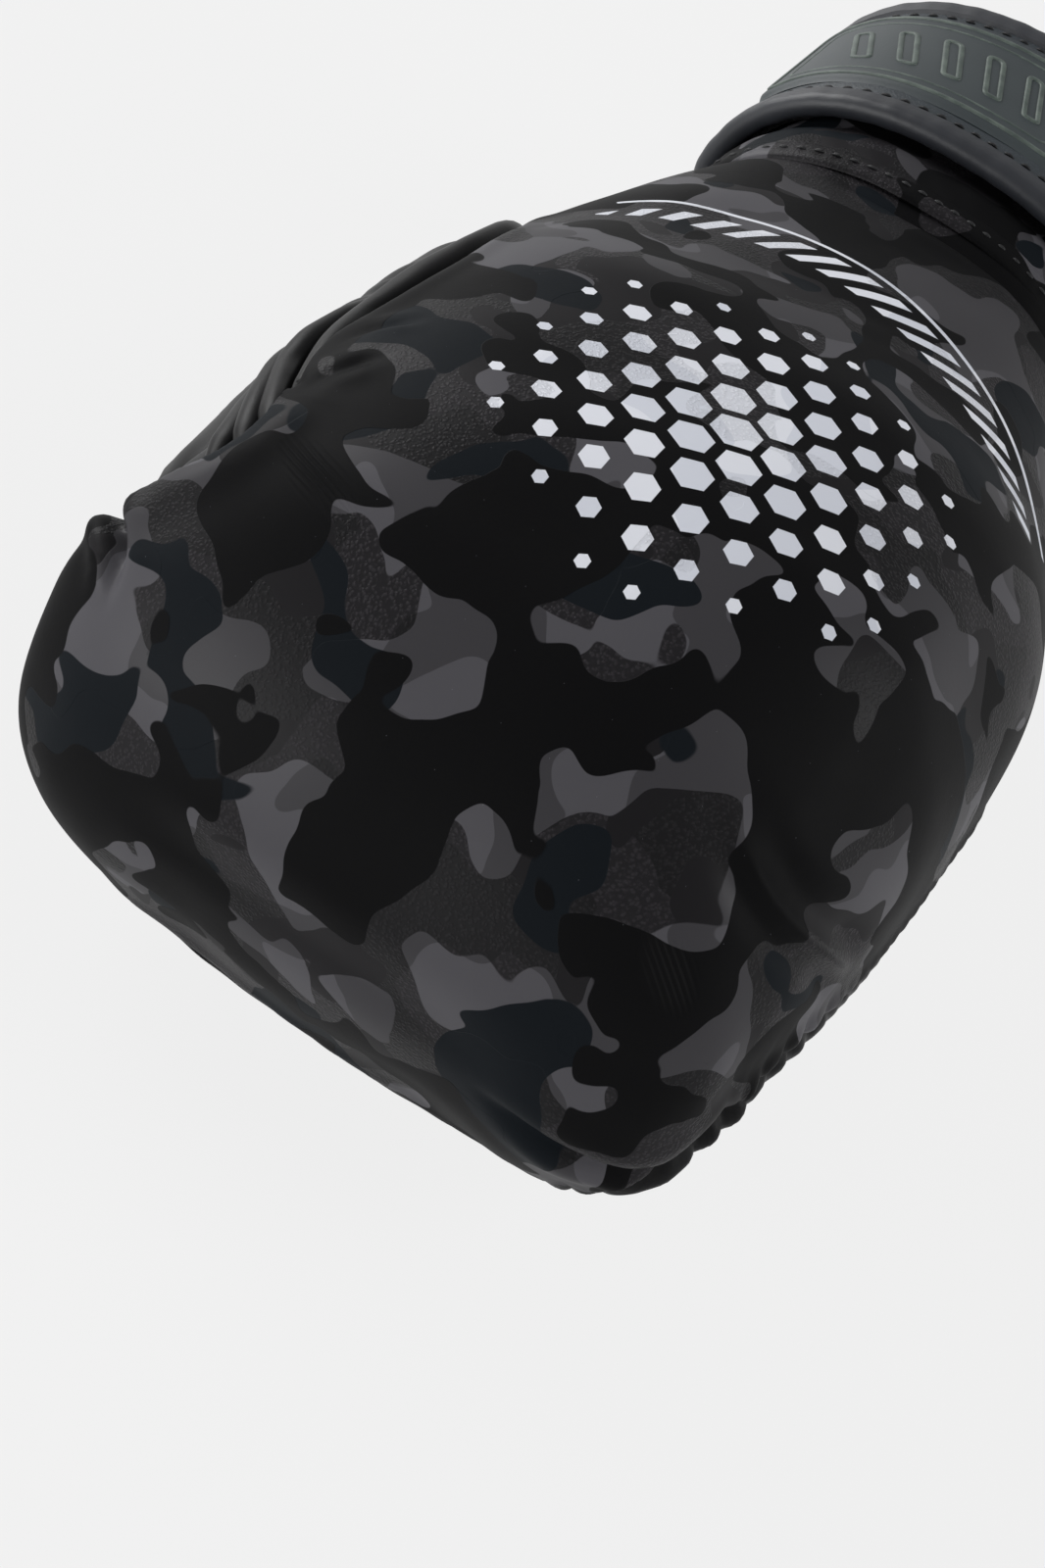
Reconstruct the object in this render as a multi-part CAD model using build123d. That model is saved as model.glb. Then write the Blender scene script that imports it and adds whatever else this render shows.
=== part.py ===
from build123d import *
import math
import os

# Closed-thumb boxing glove for the left hand, lying palm down. Millimetres.
# +Y runs from the cuff mouth to the front of the fist, +X is the thumb side, +Z the back of the hand.

# ---- cover and lining thicknesses ----
skin = 1.4              # outer cover
lining = 0.8            # textile lining
gap = 0.3               # between neighbouring soft pieces
seam_gap = 0.4          # between two covers along a seam

# ---- hand form: one row per station along Y ----
# y, reach to the pinky side, reach to the thumb side, height of the top, height of the underside
hand_stations = [
    (-60.0, 42.0, 50.0, 98.0, 22.0),
    (-35.0, 50.5, 59.5, 101.0, 9.0),
    (-5.0, 62.5, 66.5, 105.5, -2.0),
    (35.0, 72.5, 71.0, 115.0, -2.0),
    (75.0, 74.0, 72.0, 117.0, -2.0),
    (105.0, 72.0, 74.5, 107.5, -2.0),
    (125.0, 68.0, 72.5, 93.0, 6.0),
    (138.0, 59.5, 59.0, 78.0, 21.0),
    (145.0, 42.0, 37.0, 64.0, 37.0),
]
floor_height = 0.0      # the underside is cut flat here, which is what the glove rests on
squareness = 2.6        # superellipse power of the hand sections
front_round = 22.0      # length at the front over which an inset turns from sideways to lengthways
front_turn = 72.0       # degrees that it has turned sideways at the front

# ---- seams of the hand cover ----
seam_height = 42.0      # underside panels lie below this
curl_reach = 110.0      # the back cover curls round the front and under to here
pinky_seam_x = -50.0    # the palm cover ends here and the pinky side panel begins
thumb_panel = (-28.0, 78.0, 40.0, 78.0)     # y from, y to, x from, z to of the thumb side panel
fold_y = 36.0           # the fold between the palm and the curled fingers
fold_radius = 13.0

# ---- padding ----
inner_foam = 8.0        # the knuckle foam is in three layers: two bent slabs, and an outer one
middle_foam = 8.0       # that fills the rest of the hand form
inner_foam_from = 8.0
middle_foam_from = 32.0
inner_foam_half = 42.0
middle_foam_half = 40.0
slab_lift = 6.0         # the slabs end this much above the seam of the underside
grip_bar_radius = 9.5
grip_bar_half = 39.0
grip_bar_y = 46.0
pad_split_y = 57.0      # the palm pad ends and the finger-curl pad begins

# ---- hand compartment ----
palm_from = -20.0
palm_half = 42.0
palm_top = 87.0
palm_floor = 46.0
pocket_from = 60.0      # the finger pocket turns down from here
pocket_front = 98.0
pocket_bottom = 20.0
knuckle_bend = 20.0     # radius over the knuckles
throat_squareness = 3.0
throat_overlap = 6.0    # the throat runs this far into the palm

# ---- cuff: a straight sleeve with the section of the hand's first station ----
cuff_length = 84.0
cuff_squareness = 2.4
cuff_foam = 5.6
welt_width = 2.0
welt_proud = 2.2
welt_depth = 5.0
binding_width = 7.0
binding_thickness = 1.2
slit_from_x = -10.0
slit_width = 14.0
slit_length = 66.0
gusset_thickness = 1.2
gusset_depth = 3.0      # the elastic lies this far inside the cover

# ---- strap: bands round the cuff; angles start at the thumb side and run over the back ----
strap_offset = 17.0     # from the wrist seam to the strap
strap_width = 58.0
strap_thickness = 2.8
strap_tip = 2.0         # the free end, on the thumb side
strap_bend = 138.0      # the strap folds open here, at the pinky side of the back
strap_fold = 281.0      # and here, where it leaves its sewn end
strap_sewn = 318.0      # the end of the sewn part, on the palm side
fold_gap = 0.35         # degrees left clear at either side of a fold
band_step = 9.0         # degrees between the points that shape a band
strap_clearance = 0.5   # between the cuff and the strap where it has no hooks
loop_thickness = 1.0
loop_from = 6.0
loop_to = 124.0
loop_margin = 5.0       # from the strap's edges to the loop field
hook_thickness = 1.0
hook_from = 12.0
hook_to = 114.0
hook_margin = 7.0
rim_width = 3.6         # binding turned over the strap's edges
rim_thickness = 0.7
badge_from = 24.0
badge_to = 106.0
badge_margin = 9.0
badge_thickness = 1.5
frame_inset = 3.0       # raised frame on the badge
frame_width = 2.4
frame_thickness = 0.8

# ---- thumb: a turned form on an axis from its root to its tip ----
thumb_root = (68.0, -22.0, 43.0)
thumb_end = (70.0, 60.0, 40.0)
thumb_radii = (20.0, 22.0, 19.5)            # at the root, at the swell and at the end
thumb_swell = 0.4                           # where along the axis the middle radius lies
thumb_play = 0.5                            # room between the thumb and the hand
thumb_space_radius = 11.5
thumb_gate = (34.0, -14.0, 58.0)            # the wearer's thumb leaves the palm here
web_thickness = 1.6
web_from_y = 8.0
web_to_y = 66.0
web_from_x = 62.0
web_to_x = 80.0
web_low = 52.0

cuff_wall = skin + gap + cuff_foam + gap + lining
cuff_front = hand_stations[0][0] - welt_width / 2
cuff_mouth = cuff_front - cuff_length
hand_back = hand_stations[0][0] + welt_width / 2
cuff_half_width = (hand_stations[0][1] + hand_stations[0][2]) / 2
cuff_centre_x = (hand_stations[0][2] - hand_stations[0][1]) / 2
cuff_half_height = (hand_stations[0][3] - hand_stations[0][4]) / 2
cuff_centre_z = (hand_stations[0][3] + hand_stations[0][4]) / 2
strap_from = hand_stations[0][0] - strap_offset
strap_to = strap_from - strap_width
slit_to_x = slit_from_x + slit_width
slit_end = cuff_mouth + slit_length
hair = gap / 2          # between a piece and what it is sewn or glued on
hook_start = hair + loop_thickness + gap
strap_inside = hook_start + hook_thickness + hair
strap_outside = strap_inside + strap_thickness
rim_inside = strap_clearance
padded_inside = rim_inside + rim_thickness + hair
rim_outside = strap_outside + hair + rim_thickness
badge_start = strap_outside + hair
badge_end = badge_start + badge_thickness
fold_pivot_out = rim_outside
front_y = hand_stations[-1][0]
far = 400.0


# ---- helpers ----
def box(x, y, z):
    """A box given by its limits on each axis."""
    size = (x[1] - x[0], y[1] - y[0], z[1] - z[0])
    middle = ((x[0] + x[1]) / 2, (y[0] + y[1]) / 2, (z[0] + z[1]) / 2)
    return Pos(*middle) * Box(*size)


def power(value, n):
    return math.copysign(abs(value) ** (2 / n), value)


def section(y, pinky, thumb, top, bottom, n, count=12):
    """A closed superellipse-like section at y, with its own reach to either side."""
    half = (top - bottom) / 2
    middle = (top + bottom) / 2
    points = []
    for i in range(count):
        t = 2 * math.pi * (i + 0.5) / count
        reach = thumb if math.cos(t) > 0 else pinky
        points.append((reach * power(math.cos(t), n), y, middle + half * power(math.sin(t), n)))
    return Face(Wire([Spline(*points, periodic=True)]))


def only(shape):
    """The largest solid of a result, without the crumbs a cut may leave."""
    return max(shape.solids(), key=lambda s: s.volume)


def form(inset):
    """The hand's outer form, moved inwards by inset; its underside is flat."""
    sections = []
    for y, pinky, thumb, top, bottom in hand_stations:
        turn = max(0.0, min(1.0, (y - front_y + front_round) / front_round))
        along = inset * math.sin(turn * math.pi / 2)
        across = inset * math.cos(math.radians(turn * front_turn))
        sections.append(section(y - along, pinky - across, thumb - across, top - across, bottom + across,
                                squareness))
    body = loft(sections)
    body = body & box((-far, far), (-far, far), (floor_height + inset, far))
    fold = Pos(0, fold_y, floor_height) * Rot(0, 90, 0) * Cylinder(fold_radius + inset, 2 * far)
    return only(body - fold)


def side_profile(points, half):
    """A prism across the hand, from lines and arcs given as (y, z) points in order."""
    edges = []
    for start, middle, end in points:
        through = [(0, p[0], p[1]) for p in (start, middle, end) if p]
        edges.append(ThreePointArc(*through) if middle else Line(*through))
    return Pos(-half, 0, 0) * extrude(Face(Wire(edges)), amount=2 * half, dir=(1, 0, 0))


def bend_point(y, z, radius):
    """The middle point of the arc over the knuckles, whose centre is radius behind y and below z."""
    reach = radius * (1 - math.sqrt(0.5))
    return (y - reach, z - reach)


def space(grow):
    """The hand compartment, made larger by grow: throat, palm, and finger pocket turning down."""
    top, floor = palm_top + grow, palm_floor - grow
    front, back = pocket_front + grow, pocket_from - grow
    bottom, start = pocket_bottom - grow, palm_from - grow
    bend = knuckle_bend + grow
    palm = side_profile([
        ((start, floor), None, (start, top)),
        ((start, top), None, (front - bend, top)),
        ((front - bend, top), bend_point(front, top, bend), (front, top - bend)),
        ((front, top - bend), None, (front, bottom)),
        ((front, bottom), None, (back, bottom)),
        ((back, bottom), None, (back, floor)),
        ((back, floor), None, (start, floor)),
    ], palm_half + grow)
    pinky, thumb, high, low = hand_stations[0][1:]
    wall = cuff_wall - grow
    throat = loft([
        section(cuff_front, pinky - wall, thumb - wall, high - wall, low + wall, cuff_squareness),
        section(palm_from + throat_overlap, palm_half + grow, palm_half + grow, top, floor,
                throat_squareness),
    ])
    return only(palm + throat)


def bent_slab(inside, thickness, start, half):
    """A foam slab bent over the knuckles, its inner face a distance outside the hand compartment."""
    top, front = palm_top + inside, pocket_front + inside
    bend = knuckle_bend + inside
    low = seam_height + slab_lift
    outer = bend + thickness
    return side_profile([
        ((start, top), None, (front - bend, top)),
        ((front - bend, top), bend_point(front, top, bend), (front, top - bend)),
        ((front, top - bend), None, (front, low)),
        ((front, low), None, (front + thickness, low)),
        ((front + thickness, low), None, (front + thickness, top - bend)),
        ((front + thickness, top - bend), bend_point(front + thickness, top + thickness, outer),
         (front - bend, top + thickness)),
        ((front - bend, top + thickness), None, (start, top + thickness)),
        ((start, top + thickness), None, (start, top)),
    ], half)


def thumb_form(inset):
    """The thumb, turned about its axis, with round ends."""
    root = Vector(*thumb_root)
    axis = Vector(*thumb_end) - root
    length = axis.length
    radii = [r - inset for r in thumb_radii]
    swell = length * thumb_swell
    side = Spline((radii[0], 0), (radii[1], swell), (radii[2], length), tangents=[(0, 1), (0, 1)])
    heel_bend, tip_bend = radii[0] * math.sqrt(0.5), radii[2] * math.sqrt(0.5)
    tip = ThreePointArc((radii[2], length), (tip_bend, length + tip_bend), (0, length + radii[2]))
    heel = ThreePointArc((0, -radii[0]), (heel_bend, -heel_bend), (radii[0], 0))
    close = Line((0, length + radii[2]), (0, -radii[0]))
    profile = Face(Wire([heel, side, tip, close]))
    body = Solid.revolve(profile, 360, Axis((0, 0, 0), (0, 1, 0)))
    sideways = axis.cross(Vector(0, 0, 1))
    return Plane(origin=root, x_dir=sideways, z_dir=sideways.cross(axis)).location * body


def thumb_space(grow):
    """The wearer's thumb: a round tunnel from the palm into the thumb."""
    root, tip, gate = Vector(*thumb_root), Vector(*thumb_end), Vector(*thumb_gate)
    radius = thumb_space_radius + grow
    entry = Solid.make_cylinder(radius, (root - gate).length, Plane(origin=gate, z_dir=root - gate))
    tunnel = Solid.make_cylinder(radius, (tip - root).length + grow, Plane(origin=root, z_dir=tip - root))
    return only(Part() + entry + tunnel + Pos(*root) * Sphere(radius))


def cuff_point(angle, out):
    """A point on the cuff's section at a parameter angle, moved outwards by out."""
    t = math.radians(angle)
    n = cuff_squareness

    def at(u):
        return (cuff_half_width * power(math.cos(u), n), cuff_half_height * power(math.sin(u), n))

    x, z = at(t)
    normal = (math.copysign(abs(x / cuff_half_width) ** (n - 1) / cuff_half_width, x),
              math.copysign(abs(z / cuff_half_height) ** (n - 1) / cuff_half_height, z))
    size = math.hypot(*normal)
    return (cuff_centre_x + x + out * normal[0] / size, cuff_centre_z + z + out * normal[1] / size)


def along_y(face, y_from, y_to):
    return extrude(face, amount=abs(y_to - y_from), dir=(0, math.copysign(1, y_to - y_from), 0))


def sleeve(out_from, out_to, y_from, y_to, count=36):
    """A closed ring round the cuff, between two distances from its cover."""
    rings = []
    for out in (out_to, out_from):
        points = [cuff_point(360 * (i + 0.5) / count, out) for i in range(count)]
        outline = Spline(*[(x, y_from, z) for x, z in points], periodic=True)
        rings.append(along_y(Face(Wire([outline])), y_from, y_to))
    return only(rings[0] - rings[1])


def band(out_from, out_to, angle_from, angle_to, y_from, y_to):
    """A part of a ring round the cuff, between two angles."""
    count = max(4, round(abs(angle_to - angle_from) / band_step))
    angles = [angle_from + (angle_to - angle_from) * i / count for i in range(count + 1)]
    outer = [cuff_point(a, out_to) for a in angles]
    inner = [cuff_point(a, out_from) for a in angles]
    edges = [Spline(*[(x, y_from, z) for x, z in side]) for side in (outer, inner)]
    for k in (0, -1):
        edges.append(Line((outer[k][0], y_from, outer[k][1]), (inner[k][0], y_from, inner[k][1])))
    return only(along_y(Face(Wire(edges)), y_from, y_to))


def degrees_for(length):
    """The angle whose arc has about this length on the cuff."""
    return math.degrees(2 * length / (cuff_half_width + cuff_half_height))


nodes = {}

# ---- regions that share the hand form out ----
panel_from, panel_to, panel_x, panel_top = thumb_panel
ahead = box((-far, far), (hand_back, far), (-far, far))
under = box((-far, far), (-far, curl_reach), (-far, seam_height))
under_inner = box((-far, far), (-far, curl_reach - seam_gap), (-far, seam_height - seam_gap))
panel = box((panel_x, far), (panel_from, panel_to), (seam_height, panel_top))
panel_inner = box((panel_x + seam_gap, far), (panel_from + seam_gap, panel_to - seam_gap),
                  (seam_height, panel_top - seam_gap))
pinky_end = box((-far, pinky_seam_x), (-far, far), (-far, far))
pinky_end_inner = box((-far, pinky_seam_x - seam_gap), (-far, far), (-far, far))

thumb_room = thumb_form(-thumb_play)
hand_room = space(lining + gap)

# ---- cover ----
cover = only((form(0) & ahead) - form(skin))
cover = only(cover - thumb_room)
nodes["back_shell"] = only(cover - under - panel)
nodes["thumb_side_panel"] = only(cover & panel_inner)
underside = cover & under_inner
nodes["palm_shell"] = only(underside - pinky_end)
nodes["pinky_side_panel"] = only(underside & pinky_end_inner)

# ---- padding of the hand ----
inner_start = lining + 2 * gap
middle_start = inner_start + inner_foam + gap
nodes["knuckle_foam_inner"] = bent_slab(inner_start, inner_foam, inner_foam_from, inner_foam_half)
nodes["knuckle_foam_middle"] = bent_slab(middle_start, middle_foam, middle_foam_from, middle_foam_half)
grip_bar_z = palm_floor - inner_start - grip_bar_radius
bar_place = Pos(0, grip_bar_y, grip_bar_z) * Rot(0, 90, 0)
nodes["grip_bar"] = only(bar_place * Cylinder(grip_bar_radius, 2 * grip_bar_half))

padding = form(skin + gap) & ahead
padding = padding - bent_slab(inner_start - gap, inner_foam + 2 * gap, inner_foam_from - gap,
                              inner_foam_half + gap)
padding = padding - bent_slab(middle_start - gap, middle_foam + 2 * gap, middle_foam_from - gap,
                              middle_foam_half + gap)
padding = only(padding - hand_room - thumb_room)
padding = padding - bar_place * Cylinder(grip_bar_radius + gap, 2 * (grip_bar_half + gap))
nodes["knuckle_foam_outer"] = only(padding - under)
low_padding = padding & under_inner
nodes["palm_pad"] = only(low_padding & box((-far, far), (-far, pad_split_y), (-far, far)))
nodes["finger_curl_pad"] = only(low_padding & box((-far, far), (pad_split_y + gap, far), (-far, far)))

# ---- lining of the hand compartment ----
mouth_side = box((-far, far), (-far, hand_back), (-far, far))
tunnel_room = thumb_space(lining + gap)
nodes["hand_liner"] = only(space(lining) - space(0) - mouth_side - tunnel_room)
for name in ("knuckle_foam_outer", "palm_pad"):
    nodes[name] = only(nodes[name] - tunnel_room)

# ---- thumb ----
thumb_cover = thumb_form(0) - thumb_form(skin) - tunnel_room
thumb_middle_z = (thumb_root[2] + thumb_end[2]) / 2
above_seam = box((-far, far), (-far, far), (thumb_middle_z + seam_gap / 2, far))
below_seam = box((-far, far), (-far, far), (-far, thumb_middle_z - seam_gap / 2))
nodes["thumb_back_shell"] = only(thumb_cover & above_seam)
nodes["thumb_palm_shell"] = only(thumb_cover & below_seam)
nodes["thumb_foam"] = only(thumb_form(skin + gap) - tunnel_room)
nodes["thumb_liner"] = only((thumb_space(lining) - thumb_space(0)) & thumb_form(skin))
web_region = box((web_from_x, web_to_x), (web_from_y, web_to_y), (web_low, far)) - form(-thumb_play)
nodes["thumb_web"] = only((thumb_form(-hair - web_thickness) - thumb_form(-hair)) & web_region)

# ---- cuff ----
slit = box((slit_from_x, slit_to_x), (-far, slit_end), (-far, cuff_centre_z))
foam_outside = -skin - gap
foam_inside = foam_outside - cuff_foam
welt_half = (welt_width - gap) / 2
wrist_seam = hand_stations[0][0]
nodes["wrist_welt"] = sleeve(-welt_depth, welt_proud, wrist_seam - welt_half, wrist_seam + welt_half)
nodes["cuff_shell"] = only(sleeve(-skin, 0, cuff_mouth, cuff_front) - slit)
cuff_padding = sleeve(foam_inside, foam_outside, cuff_mouth, cuff_front) - slit
upper_half = box((-far, far), (-far, far), (cuff_centre_z + gap / 2, far))
lower_half = box((-far, far), (-far, far), (-far, cuff_centre_z - gap / 2))
nodes["cuff_foam_back"] = only(cuff_padding & upper_half)
nodes["cuff_foam_palm"] = only(cuff_padding & lower_half)
cuff_lining = sleeve(foam_inside - gap - lining, foam_inside - gap, cuff_mouth, cuff_front)
nodes["cuff_liner"] = only(cuff_lining - slit)
binding_end = cuff_mouth - hair - binding_thickness
binding = sleeve(-cuff_wall - hair - binding_thickness, hair + binding_thickness, binding_end,
                 cuff_mouth + binding_width)
binding = binding - sleeve(-cuff_wall - hair, hair, cuff_mouth - hair, cuff_mouth + 2 * binding_width)
nodes["cuff_binding"] = only(binding - slit)
gusset = sleeve(-gusset_depth - gusset_thickness, -gusset_depth, cuff_mouth, slit_end - hair)
slit_room = box((slit_from_x + hair, slit_to_x - hair), (-far, far), (-far, cuff_centre_z))
nodes["wrist_gusset"] = only(gusset & slit_room)
nodes["loop_field"] = band(hair, hair + loop_thickness, loop_from, loop_to, strap_from - loop_margin,
                           strap_to + loop_margin)


# ---- strap ----
def strap_part(inside, angle_from, angle_to, ends):
    """A stretch of the strap and the binding over its edges; ends names the angles that are bound too."""
    over = degrees_for(rim_thickness + hair)
    bound = degrees_for(rim_width)
    room = degrees_for(hair)
    y_edges = (strap_from - rim_thickness - hair, strap_to + rim_thickness + hair)
    core_angles, cut_angles, open_angles = [], [], []
    for angle, sign in ((angle_from, -1), (angle_to, 1)):
        is_end = angle in ends
        core_angles.append(angle - sign * over if is_end else angle)
        cut_angles.append(angle - sign * (over - room) if is_end else angle + sign * over)
        open_angles.append(angle - sign * bound if is_end else angle + sign * over)
    web = band(inside, strap_outside, *core_angles, *y_edges)
    rim = band(inside - hair - rim_thickness, rim_outside, angle_from, angle_to, strap_from, strap_to)
    rim = rim - band(inside - hair, strap_outside + hair, *cut_angles, y_edges[0] + hair,
                     y_edges[1] - hair)
    rim = rim - band(inside - strap_inside, rim_outside + rim_thickness, *open_angles,
                     strap_from - rim_width, strap_to + rim_width)
    return web, Compound(children=list(rim.solids()))


for name, inside, start, end, bound_ends in (
        ("strap_end", strap_inside, strap_tip, strap_bend - fold_gap, (strap_tip,)),
        ("strap_middle", padded_inside, strap_bend + fold_gap, strap_fold - fold_gap, ()),
        ("strap_root", padded_inside, strap_fold + fold_gap, strap_sewn, (strap_sewn,))):
    nodes[name], nodes[name + "_binding"] = strap_part(inside, start, end, bound_ends)
nodes["hook_field"] = band(hook_start, hook_start + hook_thickness, hook_from, hook_to,
                           strap_from - hook_margin, strap_to + hook_margin)

# ---- badge ----
nodes["strap_badge"] = band(badge_start, badge_end, badge_from, badge_to, strap_from - badge_margin,
                            strap_to + badge_margin)
frame_in = degrees_for(frame_inset)
frame_bar = degrees_for(frame_width)
frame_edges = (strap_from - badge_margin - frame_inset, strap_to + badge_margin + frame_inset)
frame_start = badge_end + hair
frame = band(frame_start, frame_start + frame_thickness, badge_from + frame_in, badge_to - frame_in,
             *frame_edges)
window = band(badge_end - frame_thickness, badge_end + 2 * frame_thickness,
              badge_from + frame_in + frame_bar, badge_to - frame_in - frame_bar,
              frame_edges[0] - frame_width, frame_edges[1] + frame_width)
nodes["badge_frame"] = only(frame - window)

os.makedirs("parts", exist_ok=True)
for name, shape in nodes.items():
    export_step(shape, f"parts/{name}.step")

for label, angle in (("bend", strap_bend), ("fold", strap_fold)):
    print(label, "pivot", [round(v, 3) for v in cuff_point(angle, fold_pivot_out)])
print("thumb pivot", thumb_root)
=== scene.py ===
"""A closed-thumb boxing glove: camouflage-printed leather over foam, with a hook-and-loop strap."""

import math

import bpy
import numpy as np
from mathutils import Matrix, Vector


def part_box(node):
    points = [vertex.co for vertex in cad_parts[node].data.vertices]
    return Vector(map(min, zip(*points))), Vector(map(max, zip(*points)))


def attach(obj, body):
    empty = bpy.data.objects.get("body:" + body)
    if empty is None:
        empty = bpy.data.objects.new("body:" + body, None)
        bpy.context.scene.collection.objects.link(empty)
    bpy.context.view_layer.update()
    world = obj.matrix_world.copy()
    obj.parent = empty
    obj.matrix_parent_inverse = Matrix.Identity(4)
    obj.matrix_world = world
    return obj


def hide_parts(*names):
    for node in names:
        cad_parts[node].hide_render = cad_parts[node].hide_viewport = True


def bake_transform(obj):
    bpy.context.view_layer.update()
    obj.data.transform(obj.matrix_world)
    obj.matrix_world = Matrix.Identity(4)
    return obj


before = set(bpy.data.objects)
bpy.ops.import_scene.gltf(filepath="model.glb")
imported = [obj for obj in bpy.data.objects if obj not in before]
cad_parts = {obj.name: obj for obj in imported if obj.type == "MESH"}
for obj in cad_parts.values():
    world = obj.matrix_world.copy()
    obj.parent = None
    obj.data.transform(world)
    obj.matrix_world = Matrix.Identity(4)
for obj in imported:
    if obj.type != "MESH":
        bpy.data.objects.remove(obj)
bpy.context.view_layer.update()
bpy.ops.object.select_all(action="DESELECT")
bpy.context.tool_settings.mesh_select_mode = (False, False, True)

MM = 0.001

# ---------------------------------------------------------------- driving sizes, in millimetres
# y, reach to the pinky side, reach to the thumb side, top, underside
HAND_STATIONS = [
    (-60.0, 42.0, 50.0, 98.0, 22.0),
    (-35.0, 50.5, 59.5, 101.0, 9.0),
    (-5.0, 62.5, 66.5, 105.5, -1.0),
    (35.0, 72.5, 71.0, 115.0, -1.0),
    (75.0, 74.0, 72.0, 117.0, -1.0),
    (105.0, 72.0, 74.5, 107.5, -1.0),
    (125.0, 68.0, 72.5, 93.0, 6.0),
    (138.0, 59.5, 59.0, 78.0, 21.0),
    (145.0, 42.0, 37.0, 64.0, 37.0),
]
HAND_POWER = 2.6
CUFF_POWER = 2.4
HAND_CUTS = 79              # cuts over each face of the starting cube
FRONT_SHARE = 2 / 3         # the cube's front edge lies here along the profile
FRONT_DOME = 1.2            # the front stands this much proud of its last station
THUMB_ROOT = (68.0, -22.0, 43.0)
THUMB_TIP = (70.0, 60.0, 40.0)
THUMB_SIZES = ((0, 0.2, 0.4, 0.7, 1), (19.4, 20.6, 21.0, 19.8, 17.6))   # shares of its length, radii
THUMB_RADII = ((0, 0.4, 1), (19.4, 21.0, 17.6))   # the same more simply, for its nest and its web
THUMB_PLAY = 0.6            # room for the thumb in its nest
# folds across the thumb, as rows of place along it, lean, depth, width
THUMB_FOLDS = [(-30, 0.5, 1.6, 2.6), (-21, 0.32, 1.1, 2.2), (-12, -0.2, 0.8, 2.6), (6, 0.25, 0.5, 3.4),
               (24, -0.3, 0.45, 3.0)]
LEATHER = 1.3               # thickness of the covers
COVER_EDGE = 65             # degrees; a cover's edges sharper than this are shaded sharp
SEAM_DEPTH = 1.7            # of the seam round the hand
SEAM_PITCH = 4.5            # of the puckers along it
GATHER_PITCH = 5.2          # of the scallops round the pinky corner
GATHER_HEIGHT = 1.6

# seams and folds of the hand cover, as points x, y, z
SHOULDER_SEAM = [
    (46, -60, 62), (54, -42, 65), (60, -22, 72), (60.5, -6, 81), (58.5, 8, 90), (56.5, 20, 96.3),
    (56, 33, 99.7), (56.2, 49, 100.9), (57, 60, 100.9), (58.5, 70, 99.8), (59.5, 77, 98.6),
    (58.7, 85, 98.8), (56.5, 91, 99.4),
]
LIP_EDGE = [
    (56.5, 91, 99.4), (55.3, 98.5, 97.6), (56, 103, 95.4), (57.5, 105.8, 93), (60.4, 108, 89.9),
    (63.6, 109.6, 85.4), (67.5, 113.5, 77), (70, 115.5, 68), (71.5, 115, 56), (71.5, 112, 42),
]
KNUCKLE_FOLD = [
    (70.5, 108, 72), (66.5, 115.5, 76.5), (64, 119.4, 77.2), (60.8, 124, 76.9), (59.8, 127, 74.5),
    (59, 129.8, 70.6),
]
PINKY_FOLD = [
    (-47, 116, 92.5), (-54, 117.2, 88), (-59, 116.6, 84), (-63.6, 114, 80), (-67.8, 109.1, 75),
    (-70.8, 102, 68), (-72.3, 94, 60), (-72.8, 88, 53),
]
FRONT_FOLD = [
    (-30, 145, 39), (-42, 143.6, 38), (-54.7, 140.1, 37.3), (-60, 137.2, 36.2), (-64.5, 132.3, 36.7),
    (-67.5, 128.5, 40), (-69.5, 122, 43),
]
SIDE_SEAM_PINKY = [
    (-60, 45), (-5, 45), (40, 45), (75, 46), (92, 48), (104, 48), (116, 44), (124, 38), (132, 34),
    (140, 33), (150, 33),
]
# creases of the back cover beside the shoulder seam
SHOULDER_CREASES = [
    [(45, 69, 109), (51.3, 72.3, 106), (55, 75.5, 103), (56, 80, 102), (55.4, 87, 101.3)],
    [(44, 82, 108.5), (48.8, 84.2, 106.4), (52.5, 87.3, 103.4), (54, 92, 101), (54, 97, 99)],
]
# rolls that the smooth panel is pushed into between the back and the thumb, as rows x, y, z, thickness
SHOULDER_ROLLS = [
    [(55, -46, 61, 0.9), (61, -26, 68.5, 1.8), (63, -8, 77.5, 2.5), (61.2, 5, 87, 3.0),
     (59.4, 17, 93.2, 3.2), (59.8, 30, 95.6, 3.3), (61, 40, 95.2, 3.3), (62.2, 50, 94.6, 3.2),
     (62.6, 58, 94.8, 2.9), (61.8, 67.4, 95.9, 2.6), (60.2, 77, 97.4, 2.2), (58.2, 86, 98.2, 1.8),
     (56.8, 92, 97.8, 1.3), (55.6, 96, 96.6, 0.7)],
    [(65, 36, 87.5, 0.8), (66, 48, 89.4, 2.0), (66.8, 58, 90.8, 2.6), (67, 66, 91, 2.7),
     (66, 74.7, 91.2, 2.5), (63.2, 84, 93.4, 2.3), (59.8, 92.5, 95.2, 2.1), (56.8, 98.5, 95.6, 1.8),
     (54.8, 102.5, 94.8, 1.0)],
    [(68.8, 56, 84.5, 0.8), (68.6, 67, 87.6, 2.1), (67.8, 75.5, 89.4, 2.5), (65.6, 83.5, 90.4, 2.5),
     (62.8, 91.6, 91.8, 2.3), (60.4, 98, 92.2, 2.1), (58, 103, 92.2, 1.8), (56.3, 107, 91, 1.0)],
    [(69.6, 68, 81, 0.8), (68.2, 78, 84.4, 2.2), (66.2, 87.5, 86.2, 2.7), (63.8, 96, 87.4, 2.7),
     (62.2, 102.5, 87.2, 2.3), (60.6, 108, 86, 1.2)],
]
ROLL_SHIFT = (-1.6, 0.3, -0.7)     # moves all the rolls, so that they sit in the panel
SIDE_SEAM_THUMB = [
    (-60, 42), (100, 42), (112, 40), (120, 26), (127, 10), (140, 5), (150, 4),
]


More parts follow.
